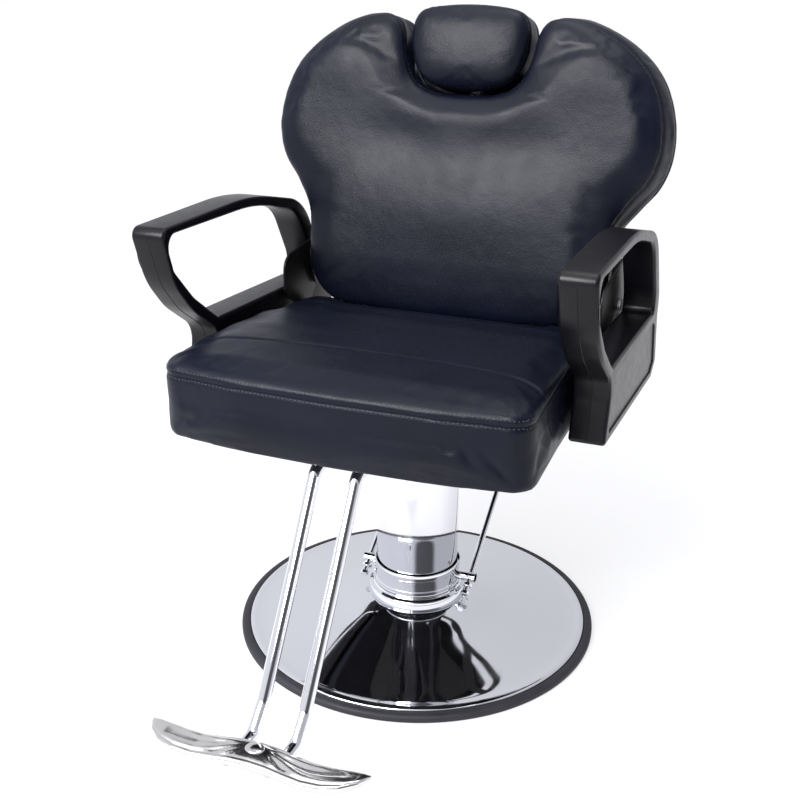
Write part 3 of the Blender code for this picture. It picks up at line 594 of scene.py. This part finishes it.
def stitch_row(bm, line, length=0.0032, pitch=0.0056, radius=0.00062):
    """A row of stitches on a line of (place, normal) pairs."""
    step = (line[1][0] - line[0][0]).length
    stride = max(1, round(pitch / step))
    profile = ((-0.5, 0.45, 0.0004), (-0.25, 1.0, 0.0001),
               (0.25, 1.0, 0.0001), (0.5, 0.45, 0.0004))
    for (centre, normal), (following, _) in zip(line[::stride], line[stride::stride]):
        ahead = (following - centre).normalized()
        side = normal.cross(ahead)
        rings = []
        for along, swell, dip in profile:
            middle = centre + ahead * along * length - normal * dip
            rings.append([
                bm.verts.new(middle + (side * math.cos(turn) + normal * math.sin(turn))
                             * radius * swell)
                for turn in (math.pi / 3 * k for k in range(6))])
        join_rings(bm, rings)
        bm.faces.new(list(reversed(rings[0])))
        bm.faces.new(rings[-1])


def sew(name, obj, path, body, rows, towards, width=0.006, depth=0.0022, bead=0.0009):
    """Press a seam into a cover, lay a thin bead of less shiny, darker leather in the groove as
    a painted shade line along it, and sew a row of stitches at each distance in rows, measured
    from the seam towards a point."""
    line = laid(obj, path)
    press_seam(obj, line, width, depth)
    line = laid(obj, [place for place, _ in line])
    bm = bmesh.new()
    sink = bead * 0.5
    tube(bm, [place - normal * sink for place, normal in line], bead, sides=6, caps=False)
    # The bead, a darker copy of the leather, paints the shade of the seam groove as a line.
    piece_from(name + "_seam", bm, SEAM_SHADE, body)
    if not rows:
        return
    bm = bmesh.new()
    towards = Vector(towards)
    for distance in rows:
        beside = []
        for k, (place, normal) in enumerate(line):
            ahead = line[min(k + 1, len(line) - 1)][0] - line[max(k - 1, 0)][0]
            side = normal.cross(ahead).normalized()
            if side.dot(towards - place) < 0:
                side = -side
            beside.append(place + side * distance)
        stitch_row(bm, laid(obj, beside))
    piece_from(name + "_stitches", bm, THREAD, body)


# ---- base and pump -------------------------------------------------------------------
def build_base():
    groove = DOME_RADIUS + 0.0006
    turned("rubber_rim", softened([
        (groove, RIM_HEIGHT - 0.001), (groove + 0.002, RIM_HEIGHT + 0.0004),
        (0.2895, RIM_HEIGHT + 0.0002), (0.2935, 0.0104), (BASE_RADIUS, 0.0075),
        (BASE_RADIUS, 0.0020), (0.2930, 0.0), (0.2680, 0.0), (0.2680, 0.0030), (groove, 0.0030)],
        0.0016), RUBBER, "base", ["base_rim_trim"], steps=160)

    cone = [(p.x, p.y) for p in through([
        (FLANGE_RADIUS - 0.0045, 0.0560), (0.100, 0.0500), (0.140, 0.0390), (0.200, 0.0260),
        (0.240, 0.0185), (0.262, 0.0154), (0.2735, 0.0150), (0.2795, 0.0135),
        (DOME_RADIUS, 0.0105)], 7)]
    inner = [(radius - 0.0005, height - 0.0018) for radius, height in reversed(cone[:-8])]
    foot = [(DOME_RADIUS, 0.0033), (DOME_RADIUS - 0.0016, 0.0033)]
    turned("chrome_dome", cone + foot + inner, CHROME, "base", ["base_dome"],
           steps=192)
    turned("clamp_ring", softened([
        (CYLINDER_RADIUS + GAP, FLANGE_TOP), (FLANGE_RADIUS - 0.0075, FLANGE_TOP),
        (FLANGE_RADIUS - 0.0065, FLANGE_TOP - 0.0035),
        (FLANGE_RADIUS - 0.0005, FLANGE_TOP - 0.006),
        (FLANGE_RADIUS + 0.0012, FLANGE_BOTTOM), (CYLINDER_RADIUS + GAP, FLANGE_BOTTOM)],
        0.0012), CHROME, "base", ["pump_flange"])

    bore = SLEEVE_RADIUS + 0.0020
    waist = COLLAR_RADIUS - 0.0007
    turned("pump_collar_ring", softened([
        (bore, COLLAR_TOP), (COLLAR_RADIUS, COLLAR_TOP), (COLLAR_RADIUS, COLLAR_TOP - 0.0100),
        (waist, COLLAR_TOP - 0.0108), (waist, FLANGE_TOP + 0.0085),
        (COLLAR_RADIUS, FLANGE_TOP + 0.0077), (COLLAR_RADIUS, FLANGE_TOP + GAP),
        (bore, FLANGE_TOP + GAP)], 0.0006, 2), CHROME, "base", ["pump_collar"])


def build_lift():
    turned("chrome_sleeve", softened([
        (RAM_RADIUS + GAP, SLEEVE_TOP + 0.004), (SLEEVE_RADIUS - 0.001, SLEEVE_TOP + 0.004),
        (SLEEVE_RADIUS, SLEEVE_TOP + 0.003), (SLEEVE_RADIUS, SLEEVE_BOTTOM),
        (SLEEVE_RADIUS - 0.002, SLEEVE_BOTTOM), (SLEEVE_RADIUS - 0.002, SLEEVE_TOP),
        (RAM_RADIUS + GAP, SLEEVE_TOP)], 0.0006, 2), CHROME, "lift",
        ["pump_sleeve"], steps=128)


def build_pedal():
    along = Vector((0, math.cos(PEDAL_RISE), math.sin(PEDAL_RISE)))
    centre = Vector((0, PEDAL_Y, PEDAL_Z))
    cross = centre + along * PEDAL_REACH
    for side, sign in SIDES:
        bm = bmesh.new()
        tube(bm, [(sign * 0.0720, PEDAL_Y, PEDAL_Z), (sign * 0.0990, PEDAL_Y, PEDAL_Z)],
             0.0080, 40)
        piece_from("pedal_stub_" + side, bm, CHROME, "pedal")
        place = Vector((sign * PEDAL_SIDE, 0, 0)) + centre
        bm = bmesh.new()
        tube(bm, [place - along * 0.0285, place + along * (PEDAL_REACH - 0.0098)], 0.005, 28)
        tube(bm, [place - along * 0.0190, place - along * 0.0125], 0.0078, 6)
        tube(bm, [place - along * 0.0340, place - along * 0.0270], 0.0068, 6)
        piece_from("pedal_arm_" + side, bm, CHROME, "pedal", ["pedal_rod_" + side])
    reach = PEDAL_SIDE + 0.012
    bm = bmesh.new()
    tube(bm, [(-reach, cross.y, cross.z), (reach, cross.y, cross.z)], 0.0095, 40)
    piece_from("pedal_bar", bm, CHROME, "pedal", ["pedal_crossbar"])
    rib_pitch = 0.0080
    ribs = [(0.0098, -0.0620), (0.0125, -0.0620)]
    for k in range(15):
        start = -0.0590 + k * rib_pitch
        ribs += [(0.0127, start), (0.0140, start + 0.0012), (0.0140, start + 0.0048),
                 (0.0127, start + 0.0060)]
    ribs += [(0.0125, 0.0620), (0.0098, 0.0620)]
    turned("ribbed_grip", ribs, RUBBER, "pedal", ["pedal_grip"], 48,
           Matrix.Translation(cross) @ Matrix.Rotation(math.pi / 2, 4, "Y"))


# ---- armrests ------------------------------------------------------------------------
ARM_RIM = [         # outlines of an armrest: y, z, corner radius
    (-0.277, 0.7030, 0.014), (-0.010, 0.7005, 0.600), (0.168, 0.6580, 0.110),
    (0.2360, 0.5400, 0.050), (0.2320, 0.5060, 0.040), (0.2530, 0.4210, 0.008),
    (0.2180, 0.4010, 0.008), (-0.1540, 0.4310, 0.006), (-0.1300, 0.5160, 0.040),
    (-0.2050, 0.5690, 0.140), (-0.2480, 0.6180, 0.120)]
ARM_HOLE = [
    (-0.2560, 0.6910, 0.018), (0.000, 0.6830, 0.500), (0.140, 0.6460, 0.080),
    (0.1950, 0.5500, 0.050), (0.1920, 0.5200, 0.010), (-0.1330, 0.5390, 0.022),
    (-0.1990, 0.5880, 0.120), (-0.2550, 0.6480, 0.055)]
ARM_PANEL = [       # sunk panel on the outer face, under the loop
    (-0.1230, 0.5240, 0.010), (0.1960, 0.5060, 0.008), (0.2180, 0.4960, 0.010),
    (0.2380, 0.4240, 0.006), (0.2130, 0.4125, 0.006), (-0.1400, 0.4405, 0.006),
    (-0.1180, 0.5120, 0.010)]


def facing_x(x):
    """Places flat (y, z) outlines in the plane across X."""
    return Matrix(((0, 0, 1, x), (1, 0, 0, 0), (0, 1, 0, 0), (0, 0, 0, 1)))


def build_armrests():
    edge = 0.0050
    middle_x = (ARM_INNER + ARM_OUTER) / 2
    panel_middle = Vector((0.045, 0.470))
    panel_taper = 0.955
    for side, sign in SIDES:
        curve = bpy.data.curves.new("armrest_loop_" + side, "CURVE")
        curve.dimensions = "2D"
        curve.fill_mode = "BOTH"
        curve.extrude = (ARM_OUTER - ARM_INNER) / 2 - edge
        curve.bevel_depth = edge
        curve.bevel_resolution = 4
        curve.offset = -edge
        for corners in (ARM_RIM, ARM_HOLE):
            outline = rounded(corners, 10)
            spline = curve.splines.new("POLY")
            spline.points.add(len(outline) - 1)
            spline.use_cyclic_u = True
            for point, place in zip(spline.points, outline):
                point.co = (place.x, place.y, 0, 1)
        blank = in_scene("blank", curve)
        mesh = evaluated_mesh(blank)
        bpy.data.objects.remove(blank, do_unlink=True)
        bm = bmesh.new()
        bm.from_mesh(mesh)
        bmesh.ops.remove_doubles(bm, verts=bm.verts, dist=0.00002)
        bmesh.ops.transform(bm, matrix=facing_x(sign * middle_x), verts=bm.verts)
        bmesh.ops.recalc_face_normals(bm, faces=bm.faces)
        arm = piece_from("armrest_loop_" + side, bm, FOAM, "seat",
                         ["armrest_" + side])
        recess = bmesh.new()
        floor, roof = prism(recess, rounded(ARM_PANEL, 6), -0.0100, 0.0100)
        for v in floor if sign > 0 else roof:
            v.co.xy = panel_middle + (v.co.xy - panel_middle) * panel_taper
        cut_out(arm, recess, facing_x(sign * (ARM_OUTER + 0.0076)))
        arm.data.set_sharp_from_angle(angle=math.radians(38))

        line = [(sign * middle_x, p.x, p.y) for p in rounded(ARM_RIM, 10)]
        start = next(k for k, p in enumerate(line) if p[1] < 0 and p[2] < 0.4320)
        bm = bmesh.new()
        tube(bm, line[start:] + line[:1], 0.00055, 6, caps=False)
        piece_from("mould_line_" + side, bm, FOAM, "seat")


def cut_out(obj, bm, matrix):
    """Cut a helper shape out of a piece, for good."""
    mesh = bpy.data.meshes.new("helper")
    bmesh.ops.recalc_face_normals(bm, faces=bm.faces)
    bm.to_mesh(mesh)
    bm.free()
    helper = in_scene("helper", mesh)
    helper.matrix_basis = matrix
    mod = obj.modifiers.new("cut", "BOOLEAN")
    mod.operation = "DIFFERENCE"
    mod.solver = "EXACT"
    mod.object = helper
    apply_modifiers(obj)
    bpy.data.objects.remove(helper, do_unlink=True)


HINGE_PLATE = [     # seat side of the recline hinge: y, z, corner radius
    (0.1640, 0.4050, 0.002), (0.2130, 0.4050, 0.004), (0.2620, 0.4900, 0.030),
    (0.2760, 0.6020, 0.034), (0.0660, 0.5810, 0.026), (0.0660, 0.5230, 0.012),
    (0.1000, 0.4950, 0.004), (0.1640, 0.4855, 0.004)]


def build_hinges():
    for side, sign in SIDES:
        bm = bmesh.new()
        for ring in prism(bm, rounded(HINGE_PLATE, 8), HINGE_INNER, HINGE_OUTER):
            round_ring(bm, ring, 0.0008, 2)
        mirror = Matrix.Diagonal((1, 1, sign, 1))
        bmesh.ops.transform(bm, matrix=facing_x(0) @ mirror, verts=bm.verts)
        bmesh.ops.recalc_face_normals(bm, faces=bm.faces)
        piece_from("hinge_cover_" + side, bm, BLACK_STEEL, "seat",
                   ["seat_hinge_plate_" + side])


# ---- footrest ------------------------------------------------------------------------
FOOTPLATE = [       # one side: x, rear y, front y, top z, bottom z
    (0.000, -0.5560, -0.6000, 0.1470, 0.1342), (0.025, -0.5565, -0.6005, 0.1462, 0.1340),
    (0.050, -0.5600, -0.6030, 0.1445, 0.1338), (0.075, -0.5630, -0.6055, 0.1438, 0.1325),
    (0.100, -0.5640, -0.6045, 0.1450, 0.1322), (0.125, -0.5630, -0.5960, 0.1465, 0.1345),
    (0.142, -0.5600, -0.5820, 0.1460, 0.1365), (0.151, -0.5590, -0.5660, 0.1440, 0.1390)]
FOOTPLATE_REACH = FOOTPLATE[-1][0]
FAN_Y = -0.563      # the flutes spread from here


def footplate_row(x):
    """Rear y, front y, top z and bottom z of the footplate at a width."""
    reach = abs(x)
    for here, there in zip(FOOTPLATE, FOOTPLATE[1:]):
        if reach <= there[0]:
            t = (reach - here[0]) / (there[0] - here[0])
            break
    rear, front, top, bottom = (a + (b - a) * t for a, b in zip(here[1:], there[1:]))
    slim = 0.5 * (1 - math.sqrt(1 - 0.86 * min(reach / FOOTPLATE_REACH, 1.0) ** 24))
    middle_y, middle_z = (rear + front) / 2, (top + bottom) / 2
    return (rear + (middle_y - rear) * slim, front + (middle_y - front) * slim,
            top + (middle_z - top) * slim, bottom + (middle_z - bottom) * slim)


def flute(x, y):
    """Height of the fan of flutes that spreads from the disc over each wing."""
    spoke = math.hypot(x, y - FAN_Y)
    angle = math.atan2(FAN_Y - y, abs(x))
    fade = smooth_step((spoke - 0.018) / 0.030) * smooth_step((0.146 - abs(x)) / 0.035)
    return 0.0011 * fade * math.cos(20.0 * (angle - 0.10 * math.sin(abs(x) * 30)))


def build_footrest():
    path = bent([(0, -0.135, 0.4095), (0, -0.318, 0.4095), (0, -0.395, 0.291),
                 (0, -0.492, 0.151), (0, -0.522, 0.1235), (0, -0.578, 0.1235)], 0.022, 14)
    for side, sign in SIDES:
        bm = bmesh.new()
        tube(bm, [p + Vector((sign * FOOTBAR_X, 0, 0)) for p in path], FOOTBAR_RADIUS, 40)
        piece_from("footrest_tube_" + side, bm, CHROME, "seat",
                   ["footrest_bar_" + side])

    bm = bmesh.new()
    stations = [FOOTPLATE_REACH * math.sin(math.pi / 2 * k / 60) for k in range(-60, 61)]
    across = 26
    rows = []
    for x in stations:
        rear, front, top, bottom = footplate_row(x)
        depth = rear - front
        row = [(x, rear - depth * 0.06, bottom), (x, rear, bottom + (top - bottom) * 0.35)]
        for k in range(across + 1):
            t = k / across
            crown = -0.0020 * (2 * t - 1) ** 4
            y = rear - depth * (0.02 + 0.955 * t)
            fan = flute(x, y) * smooth_step((0.84 - t) / 0.10) * smooth_step((t - 0.03) / 0.10)
            groove = -0.0010 * math.exp(-((t - 0.87) / 0.025) ** 2)
            row.append((x, y, top + crown + fan + groove))
        row += [(x, front, bottom + (top - bottom) * 0.62),
                (x, front + depth * 0.01, bottom + 0.0018), (x, front + depth * 0.06, bottom)]
        rows.append([bm.verts.new(p) for p in row])
    for here, there in zip(rows, rows[1:]):
        for k in range(len(here)):
            following = (k + 1) % len(here)
            bm.faces.new((here[k], there[k], there[following], here[following]))
    bm.faces.new(rows[0])
    bm.faces.new(list(reversed(rows[-1])))
    bmesh.ops.recalc_face_normals(bm, faces=bm.faces)
    piece_from("winged_footplate", bm, CAST, "seat", ["footplate"], sharp=50)

    disc = Matrix.Translation((0, -0.5715, 0)) @ Matrix.Diagonal((1.0, 0.86, 1.0, 1.0))
    turned("footplate_disc", [
        (0.0, 0.1484), (0.0108, 0.1482), (0.0122, 0.1475), (0.0130, 0.1462),
        (0.0130, 0.1440), (0.0, 0.1440)], CAST, "seat", (), 64, disc)


# ---- lever ---------------------------------------------------------------------------
def build_lever():
    x, y, z = LEVER_PIVOT
    end = Vector((-0.2980, -0.030, z - 0.024))
    bm = bmesh.new()
    tube(bm, bent([(x + 0.018, y, z), (end.x, y, z), end], 0.014), 0.0045, 28)
    piece_from("release_rod", bm, CHROME, "lever", ["recline_lever"])
    along = (end - Vector((end.x, y, z))).normalized()
    turned("release_knob", softened([
        (0, 0.0402), (0.006, 0.0390), (0.0092, 0.034), (0.0086, 0.012), (0.006, 0.0),
        (0, 0.0)], 0.003), RUBBER, "lever", ["lever_knob"], 40,
        Matrix.Translation(end + along * GAP)
        @ along.to_track_quat("Z", "Y").to_matrix().to_4x4())


# ---- seat ----------------------------------------------------------------------------
SEAT_OUTLINE = [    # one side: x, y, corner radius
    (0.0, -0.346, 0.0), (0.150, -0.341, 0.250), (0.2700, -0.324, 0.036),
    (0.2650, -0.169, 0.200), (0.2650, 0.158, 0.020), (0.0, 0.158, 0.0)]
SEAT_CROWN = [      # y, height of the top along the middle
    (-0.350, 0.5290), (-0.320, 0.5350), (-0.280, 0.5385), (-0.215, 0.5405), (-0.150, 0.5375),
    (-0.050, 0.5290), (0.050, 0.5130), (0.085, 0.5070), (0.112, 0.4770), (0.165, 0.4740)]
SEAT_SEAM_Z = 0.5175


def seat_plan():
    half = rounded(SEAT_OUTLINE, 10)
    return half + [Vector((-p.x, p.y)) for p in reversed(half) if p.x > 0.001]


def build_seat():
    flat_top = 0.5310
    bm = bmesh.new()
    _, roof = prism(bm, seat_plan(), SEAT_FLOOR, flat_top)
    round_ring(bm, roof, 0.012, 4)
    round_ring(bm, [v for v in bm.verts if abs(v.co.z - SEAT_FLOOR) < 1e-5], 0.006, 3)
    seat = remeshed("seat_pad", bm, 0.0055)

    def shape(p):
        """Leans the front in, crowns the top, and raises the sides of the rear ledge."""
        up = min(max((p.z - SEAT_FLOOR) / (SEAT_SEAM_Z - SEAT_FLOOR), 0.0), 1.0)
        front = smooth_step((-0.120 - p.y) / 0.200)
        p.y += front * (0.009 * (1 - up) - 0.003 * math.sin(math.pi * up))
        pull = 0.0010 * (1 - up)
        p.x -= math.copysign(1, p.x) * pull * smooth_step((abs(p.x) - 0.12) / 0.13)
        top = between(p.y, SEAT_CROWN) - flat_top
        side = -0.0050 * (abs(p.x) / SEAT_HALF_WIDTH) ** 3 * smooth_step((0.1 - p.y) / 0.1)
        ledge = (0.009 * smooth_step((abs(p.x) - 0.085) / 0.030)
                 + 0.013 * smooth_step((abs(p.x) - 0.145) / 0.040))
        side += ledge * smooth_step((p.y - 0.090) / 0.015)
        p.z += (top + side) * smooth_step((p.z - 0.435) / 0.085)
        return p

    reshape(seat, shape)
    stuff(seat, lambda p: 1.0 if p.z < SEAT_FLOOR + 0.012 else 0.0, 0.0045)
    dress(seat, LEATHER, "seat", ["seat_cushion"], sharp=0)

    perimeter = evenly([Vector((q.x, q.y, 0)) for q in seat_plan()], 0.004)
    edge = [Vector((p.x * 1.003, p.y * 1.003,
                    SEAT_SEAM_Z - 0.004 * (abs(p.x) / SEAT_HALF_WIDTH) ** 3))
            for p in perimeter if p.y < 0.085]
    right = [p for p in edge if p.x >= 0]
    left = [p for p in edge if p.x < 0]
    sew("seat_edge", seat, list(reversed(right)) + list(reversed(left)), "seat",
        (-0.0028, 0.0088), (0, 0, 0.70))
    cross = [(-0.2620, -0.2480, 0.53), (-0.2350, -0.2280, 0.53), (-0.1600, -0.2150, 0.53),
             (0.0, -0.2080, 0.54), (0.1600, -0.2150, 0.53), (0.2350, -0.2280, 0.53),
             (0.2620, -0.2480, 0.53)]
    sew("seat_cross", seat, through(cross, 14), "seat", (), (0, 0, 0), width=0.0055,
        depth=0.0016, bead=0.0007)


# ---- back ----------------------------------------------------------------------------
HEART_HALF = [      # one side of the back: x, height up the back
    (0.040, 0.003), (0.130, 0.004), (0.200, 0.013), (0.240, 0.050), (0.2500, 0.108),
    (0.256, 0.161), (0.280, 0.207), (0.308, 0.245), (0.321, 0.290), (0.317, 0.345),
    (0.295, 0.400), (0.255, 0.442), (0.200, 0.472), (0.152, 0.484), (0.123, 0.479),
    (0.107, 0.455), (0.101, 0.418), (0.083, 0.382), (0.040, 0.364)]
HEADREST = [
    (0.040, 0.370), (0.074, 0.383), (0.091, 0.410), (0.098, 0.445), (0.092, 0.478),
    (0.068, 0.494), (0.0, 0.499), (-0.068, 0.494), (-0.092, 0.478), (-0.098, 0.445),
    (-0.091, 0.410), (-0.074, 0.383), (-0.040, 0.370)]


def back_matrix():
    """Places (x, height up the back, depth) coordinates; depth grows towards the sitter."""
    up = Vector((0, math.sin(BACK_LEAN), math.cos(BACK_LEAN)))
    forward = Vector((0, -math.cos(BACK_LEAN), math.sin(BACK_LEAN)))
    return Matrix(((1, up.x, forward.x, BACK_FOOT.x), (0, up.y, forward.y, BACK_FOOT.y),
                   (0, up.z, forward.z, BACK_FOOT.z), (0, 0, 0, 1)))


def shrunk(outline, distance):
    """An anticlockwise outline moved inwards."""
    moved = []
    for k, place in enumerate(outline):
        ahead = outline[(k + 1) % len(outline)] - outline[k - 1]
        moved.append(place + Vector((-ahead.y, ahead.x)).normalized() * distance)
    return moved


def nearest_on(points):
    """A search tree over the points."""
    tree = KDTree(len(points))
    for k, p in enumerate(points):
        tree.insert((p.x, p.y, p.z if len(p) > 2 else 0), k)
    tree.balance()
    return tree


def edge_distance(outline):
    """A function that gives how far a point is from the outline."""
    tree = nearest_on(outline)
    return lambda x, s: tree.find((x, s, 0))[2]


def wall_bulge(outline, amount):
    """A function that moves a point of the back's side wall outwards, most at mid depth and
    not at all beside the hinges at the foot."""
    tree = nearest_on(outline)

    def bulge(p):
        _, k, distance = tree.find((p.x, p.y, 0))
        along = outline[(k + 1) % len(outline)] - outline[k - 1]
        out = Vector((along.y, -along.x)).normalized()
        deep = min(max(p.z / COVER_REAR, 0.0), 1.0)
        push = amount * math.sin(math.pi * deep) ** 0.7 * smooth_step(1 - distance / 0.035)
        push *= smooth_step((p.y - 0.155) / 0.06) * smooth_step((abs(p.x) - 0.135) / 0.05)
        p.x += out.x * push
        p.y += out.y * push

    return bulge


def pillow(name, outline, rear, swell, roll, relief, cap, voxel, bulge=None):
    """A pad on a flat board: its front swells from the seam at depth 0, up the back."""
    bm = bmesh.new()
    _, roof = prism(bm, shrunk(outline, 0.001), rear, 0.003)
    round_ring(bm, roof, 0.004, 3)
    pad = remeshed(name, bm, voxel)
    inside = edge_distance(outline)

    def shape(p):
        front = smooth_step((p.z - rear) / -rear)
        reach = min(inside(p.x, p.y) / roll, 1.0)
        rise = math.sqrt(max(1 - (1 - reach) ** 2, 0.0)) * swell + relief(p.x, p.y)
        p.z += front * rise
        if bulge:
            bulge(p)
        return p

    reshape(pad, shape)
    pad.data.transform(back_matrix())
    to_pad = back_matrix().inverted()
    stuff(pad, lambda p: 1.0 if (to_pad @ p).z < rear + 0.008 else 0.0, cap)
    return pad


def back_relief(x, s):
    """Lumbar roll, full shoulders and the hollows between them."""
    lumbar = 0.0075 * math.exp(-((s - 0.175) / 0.075) ** 2 - (x / 0.17) ** 2)
    crown = 0.0040 * math.exp(-((s - 0.330) / 0.040) ** 2 - (x / 0.075) ** 2)
    hollow = -0.0060 * math.exp(-((s - 0.285) / 0.045) ** 2 - ((abs(x) - 0.100) / 0.070) ** 2)
    shoulder = 0.0040 * math.exp(-((s - 0.400) / 0.050) ** 2 - ((abs(x) - 0.200) / 0.060) ** 2)
    foot = -0.0040 * smooth_step((0.10 - s) / 0.06)
    return lumbar + crown + hollow + shoulder + foot


def build_back():
    outline = through(HEART_HALF + [(-x, s) for x, s in reversed(HEART_HALF)], 8, closed=True)
    bulge = wall_bulge(outline, 0.0085)
    pad = pillow("back_pad", outline, CUSHION_REAR, swell=0.021, roll=0.055,
                 relief=back_relief, cap=0.0035, voxel=0.0055, bulge=bulge)
    dress(pad, LEATHER, "back", ["back_cushion"], sharp=0)
    place = back_matrix()
    rim = [place @ Vector((p.x, p.y, 0.0035)) for p in outline]
    sew("back_edge", pad, rim + rim[:1], "back", (0.0032,), place @ Vector((0, 0.22, 0.02)))

    bm = bmesh.new()
    floor, _ = prism(bm, outline, COVER_REAR, CUSHION_REAR - GAP)
    round_ring(bm, floor, 0.011, 5)
    lip = [(-0.082, 0.345), (0.082, 0.345), (0.090, 0.400), (-0.090, 0.400)]
    prism(bm, lip, COVER_REAR + 0.0015, COVER_REAR + 0.0100)
    cover = remeshed("back_shell", bm, 0.0055)
    inside = edge_distance(outline)

    def crown(p):
        """Swells the rear face above the hinges."""
        high = smooth_step((p.y - 0.145) / 0.10)
        depth = smooth_step((COVER_REAR + 0.012 - p.z) / 0.012)
        p.z -= depth * high * 0.0060 * smooth_step(inside(p.x, p.y) / 0.12)
        bulge(p)
        return p

    reshape(cover, crown)
    subdivide(cover)
    slot = bmesh.new()
    prism(slot, [(-0.0165, 0.320), (0.0165, 0.320), (0.0165, 0.395), (-0.0165, 0.395)],
          -0.0725, -0.0578)
    cut_out(cover, slot, back_matrix())
    cover.data.transform(back_matrix())
    dress(cover, LEATHER, "back", ["back_rear_cover"], sharp=60)
    rear_rim = [place @ Vector((p.x, p.y, COVER_REAR + 0.001)) for p in shrunk(outline, 0.011)]
    sew("shell_edge", cover, rear_rim + rear_rim[:1], "back", (), (0, 0, 0), width=0.005,
        depth=0.0012)


def build_headrest():
    outline = through(HEADREST, 10, closed=True)
    rear = CUSHION_REAR - 0.0017

    def relief(x, s):
        return 0.003 * math.exp(-((s - 0.44) / 0.05) ** 2 - (x / 0.06) ** 2)

    pad = pillow("headrest_pad", outline, rear, swell=0.019, roll=0.038,
                 relief=relief, cap=0.0030, voxel=0.0040)
    dress(pad, LEATHER, "headrest", ["headrest_cushion"], sharp=0)
    place = back_matrix()
    rim = [place @ Vector((p.x, p.y, 0.0030)) for p in outline]
    sew("headrest_edge", pad, rim + rim[:1], "headrest", (0.0032,),
        place @ Vector((0, 0.44, 0.02)), width=0.0050)

    bm = bmesh.new()
    floor, _ = prism(bm, shrunk(outline, 0.001), rear - 0.0150, rear - GAP)
    round_ring(bm, floor, 0.006, 4)
    shell = subdivide(remeshed("headrest_shell", bm, 0.0040))
    shell.data.transform(place)
    dress(shell, LEATHER, "headrest", ["headrest_board"], sharp=60)


# ---- stage ---------------------------------------------------------------------------
def build_stage():
    bm = bmesh.new()
    bmesh.ops.create_grid(bm, x_segments=8, y_segments=8, size=45.0)
    mesh = bpy.data.meshes.new("studio_floor")
    bm.to_mesh(mesh)
    bm.free()
    floor = in_scene("studio_floor", mesh)
    floor.location.z = -0.0005
    pale = principled("pale_floor", (0.30, 0.30, 0.31), 0.70, Emission_Strength=0.66,
                      Emission_Color=(0.99, 0.99, 1.0, 1.0))
    speckle = texture(pale, "Noise", 3.0, Detail=2.0)
    vary_color(pale, speckle.outputs["Fac"], (0.29, 0.29, 0.30), (0.31, 0.31, 0.32))
    mesh.materials.append(pale)

    build_world()
    for name, place, width, height, power in (
            ("key_softbox", (-0.70, -2.30, 2.25), 2.0, 1.2, 150.0),
            ("top_softbox", (0.3, 0.2, 2.6), 1.6, 1.0, 14.0)):
        lamp = bpy.data.lights.new(name, "AREA")
        lamp.shape = "RECTANGLE"
        lamp.size = width
        lamp.size_y = height
        lamp.energy = power
        aim_at_chair(name, lamp, place)
    sun = bpy.data.lights.new("overhead_scrim", "SUN")
    sun.energy = 0.9
    sun.angle = math.radians(50)
    aim_at_chair("overhead_scrim", sun, (-0.5, -0.6, 3.0))


def aim_at_chair(name, lamp, place):
    obj = in_scene(name, lamp)
    obj.location = place
    aim = Vector((0, 0, 0.55)) - Vector(place)
    obj.rotation_euler = aim.to_track_quat("-Z", "Y").to_euler()


def build_world():
    """A white studio, dimmer on the +X side, with a dark flag that the chrome picks up."""
    world = bpy.data.worlds.new("studio")
    world.use_nodes = True
    tree = world.node_tree
    light = tree.nodes["Background"]
    place = tree.nodes.new("ShaderNodeTexCoord")

    def seen_towards(direction):
        """How far the view of the world points in a direction, from -1 to 1."""
        dot = tree.nodes.new("ShaderNodeVectorMath")
        dot.operation = "DOT_PRODUCT"
        dot.inputs[1].default_value = direction
        tree.links.new(place.outputs["Generated"], dot.inputs[0])
        return dot.outputs["Value"]

    flag = Vector((0.66, -0.74, 0.16)).normalized()
    ramp = link_ramp(tree, seen_towards(flag), light.inputs["Color"],
                     ((0.80, (0.86, 0.87, 0.92)), (0.93, (0.13, 0.13, 0.14))))
    ramp.interpolation = "EASE"
    fall_off = tree.nodes.new("ShaderNodeMapRange")
    set_inputs(fall_off, From_Min=-0.7, From_Max=0.8, To_Min=1.04, To_Max=0.66)
    tree.links.new(seen_towards((0.94, 0.34, 0.0)), fall_off.inputs["Value"])
    tree.links.new(fall_off.outputs["Result"], light.inputs["Strength"])
    backdrop = tree.nodes.new("ShaderNodeBackground")
    set_inputs(backdrop, Color=(1.0, 1.0, 1.0, 1.0))
    rays = tree.nodes.new("ShaderNodeLightPath")
    choose = tree.nodes.new("ShaderNodeMixShader")
    tree.links.new(rays.outputs["Is Camera Ray"], choose.inputs["Fac"])
    tree.links.new(light.outputs["Background"], choose.inputs[1])
    tree.links.new(backdrop.outputs["Background"], choose.inputs[2])
    tree.links.new(choose.outputs["Shader"], tree.nodes["World Output"].inputs["Surface"])
    bpy.context.scene.world = world


def build_camera():
    yaw, pitch, roll = math.radians(21.22), math.radians(22.01), math.radians(0.257)
    ahead = Vector((-math.sin(yaw) * math.cos(pitch), math.cos(yaw) * math.cos(pitch),
                    -math.sin(pitch)))
    right = Vector((math.cos(yaw), math.sin(yaw), 0))
    up = right.cross(ahead)
    axes = (math.cos(roll) * right + math.sin(roll) * up,
            math.cos(roll) * up - math.sin(roll) * right, -ahead)
    lens = bpy.data.cameras.new("camera")
    lens.lens = 51.82
    lens.sensor_width = 36.0
    camera = in_scene("camera", lens)
    camera.matrix_world = Matrix.Translation((0.5819, -1.5820, 1.0755)) @ (
        Matrix(axes).transposed().to_4x4())
    bpy.context.scene.camera = camera


build_camera()
build_stage()
build_base()
build_lift()
build_pedal()
build_armrests()
build_hinges()
build_footrest()
build_lever()
build_seat()
build_back()
build_headrest()

bpy.context.scene.view_settings.view_transform = "Standard"
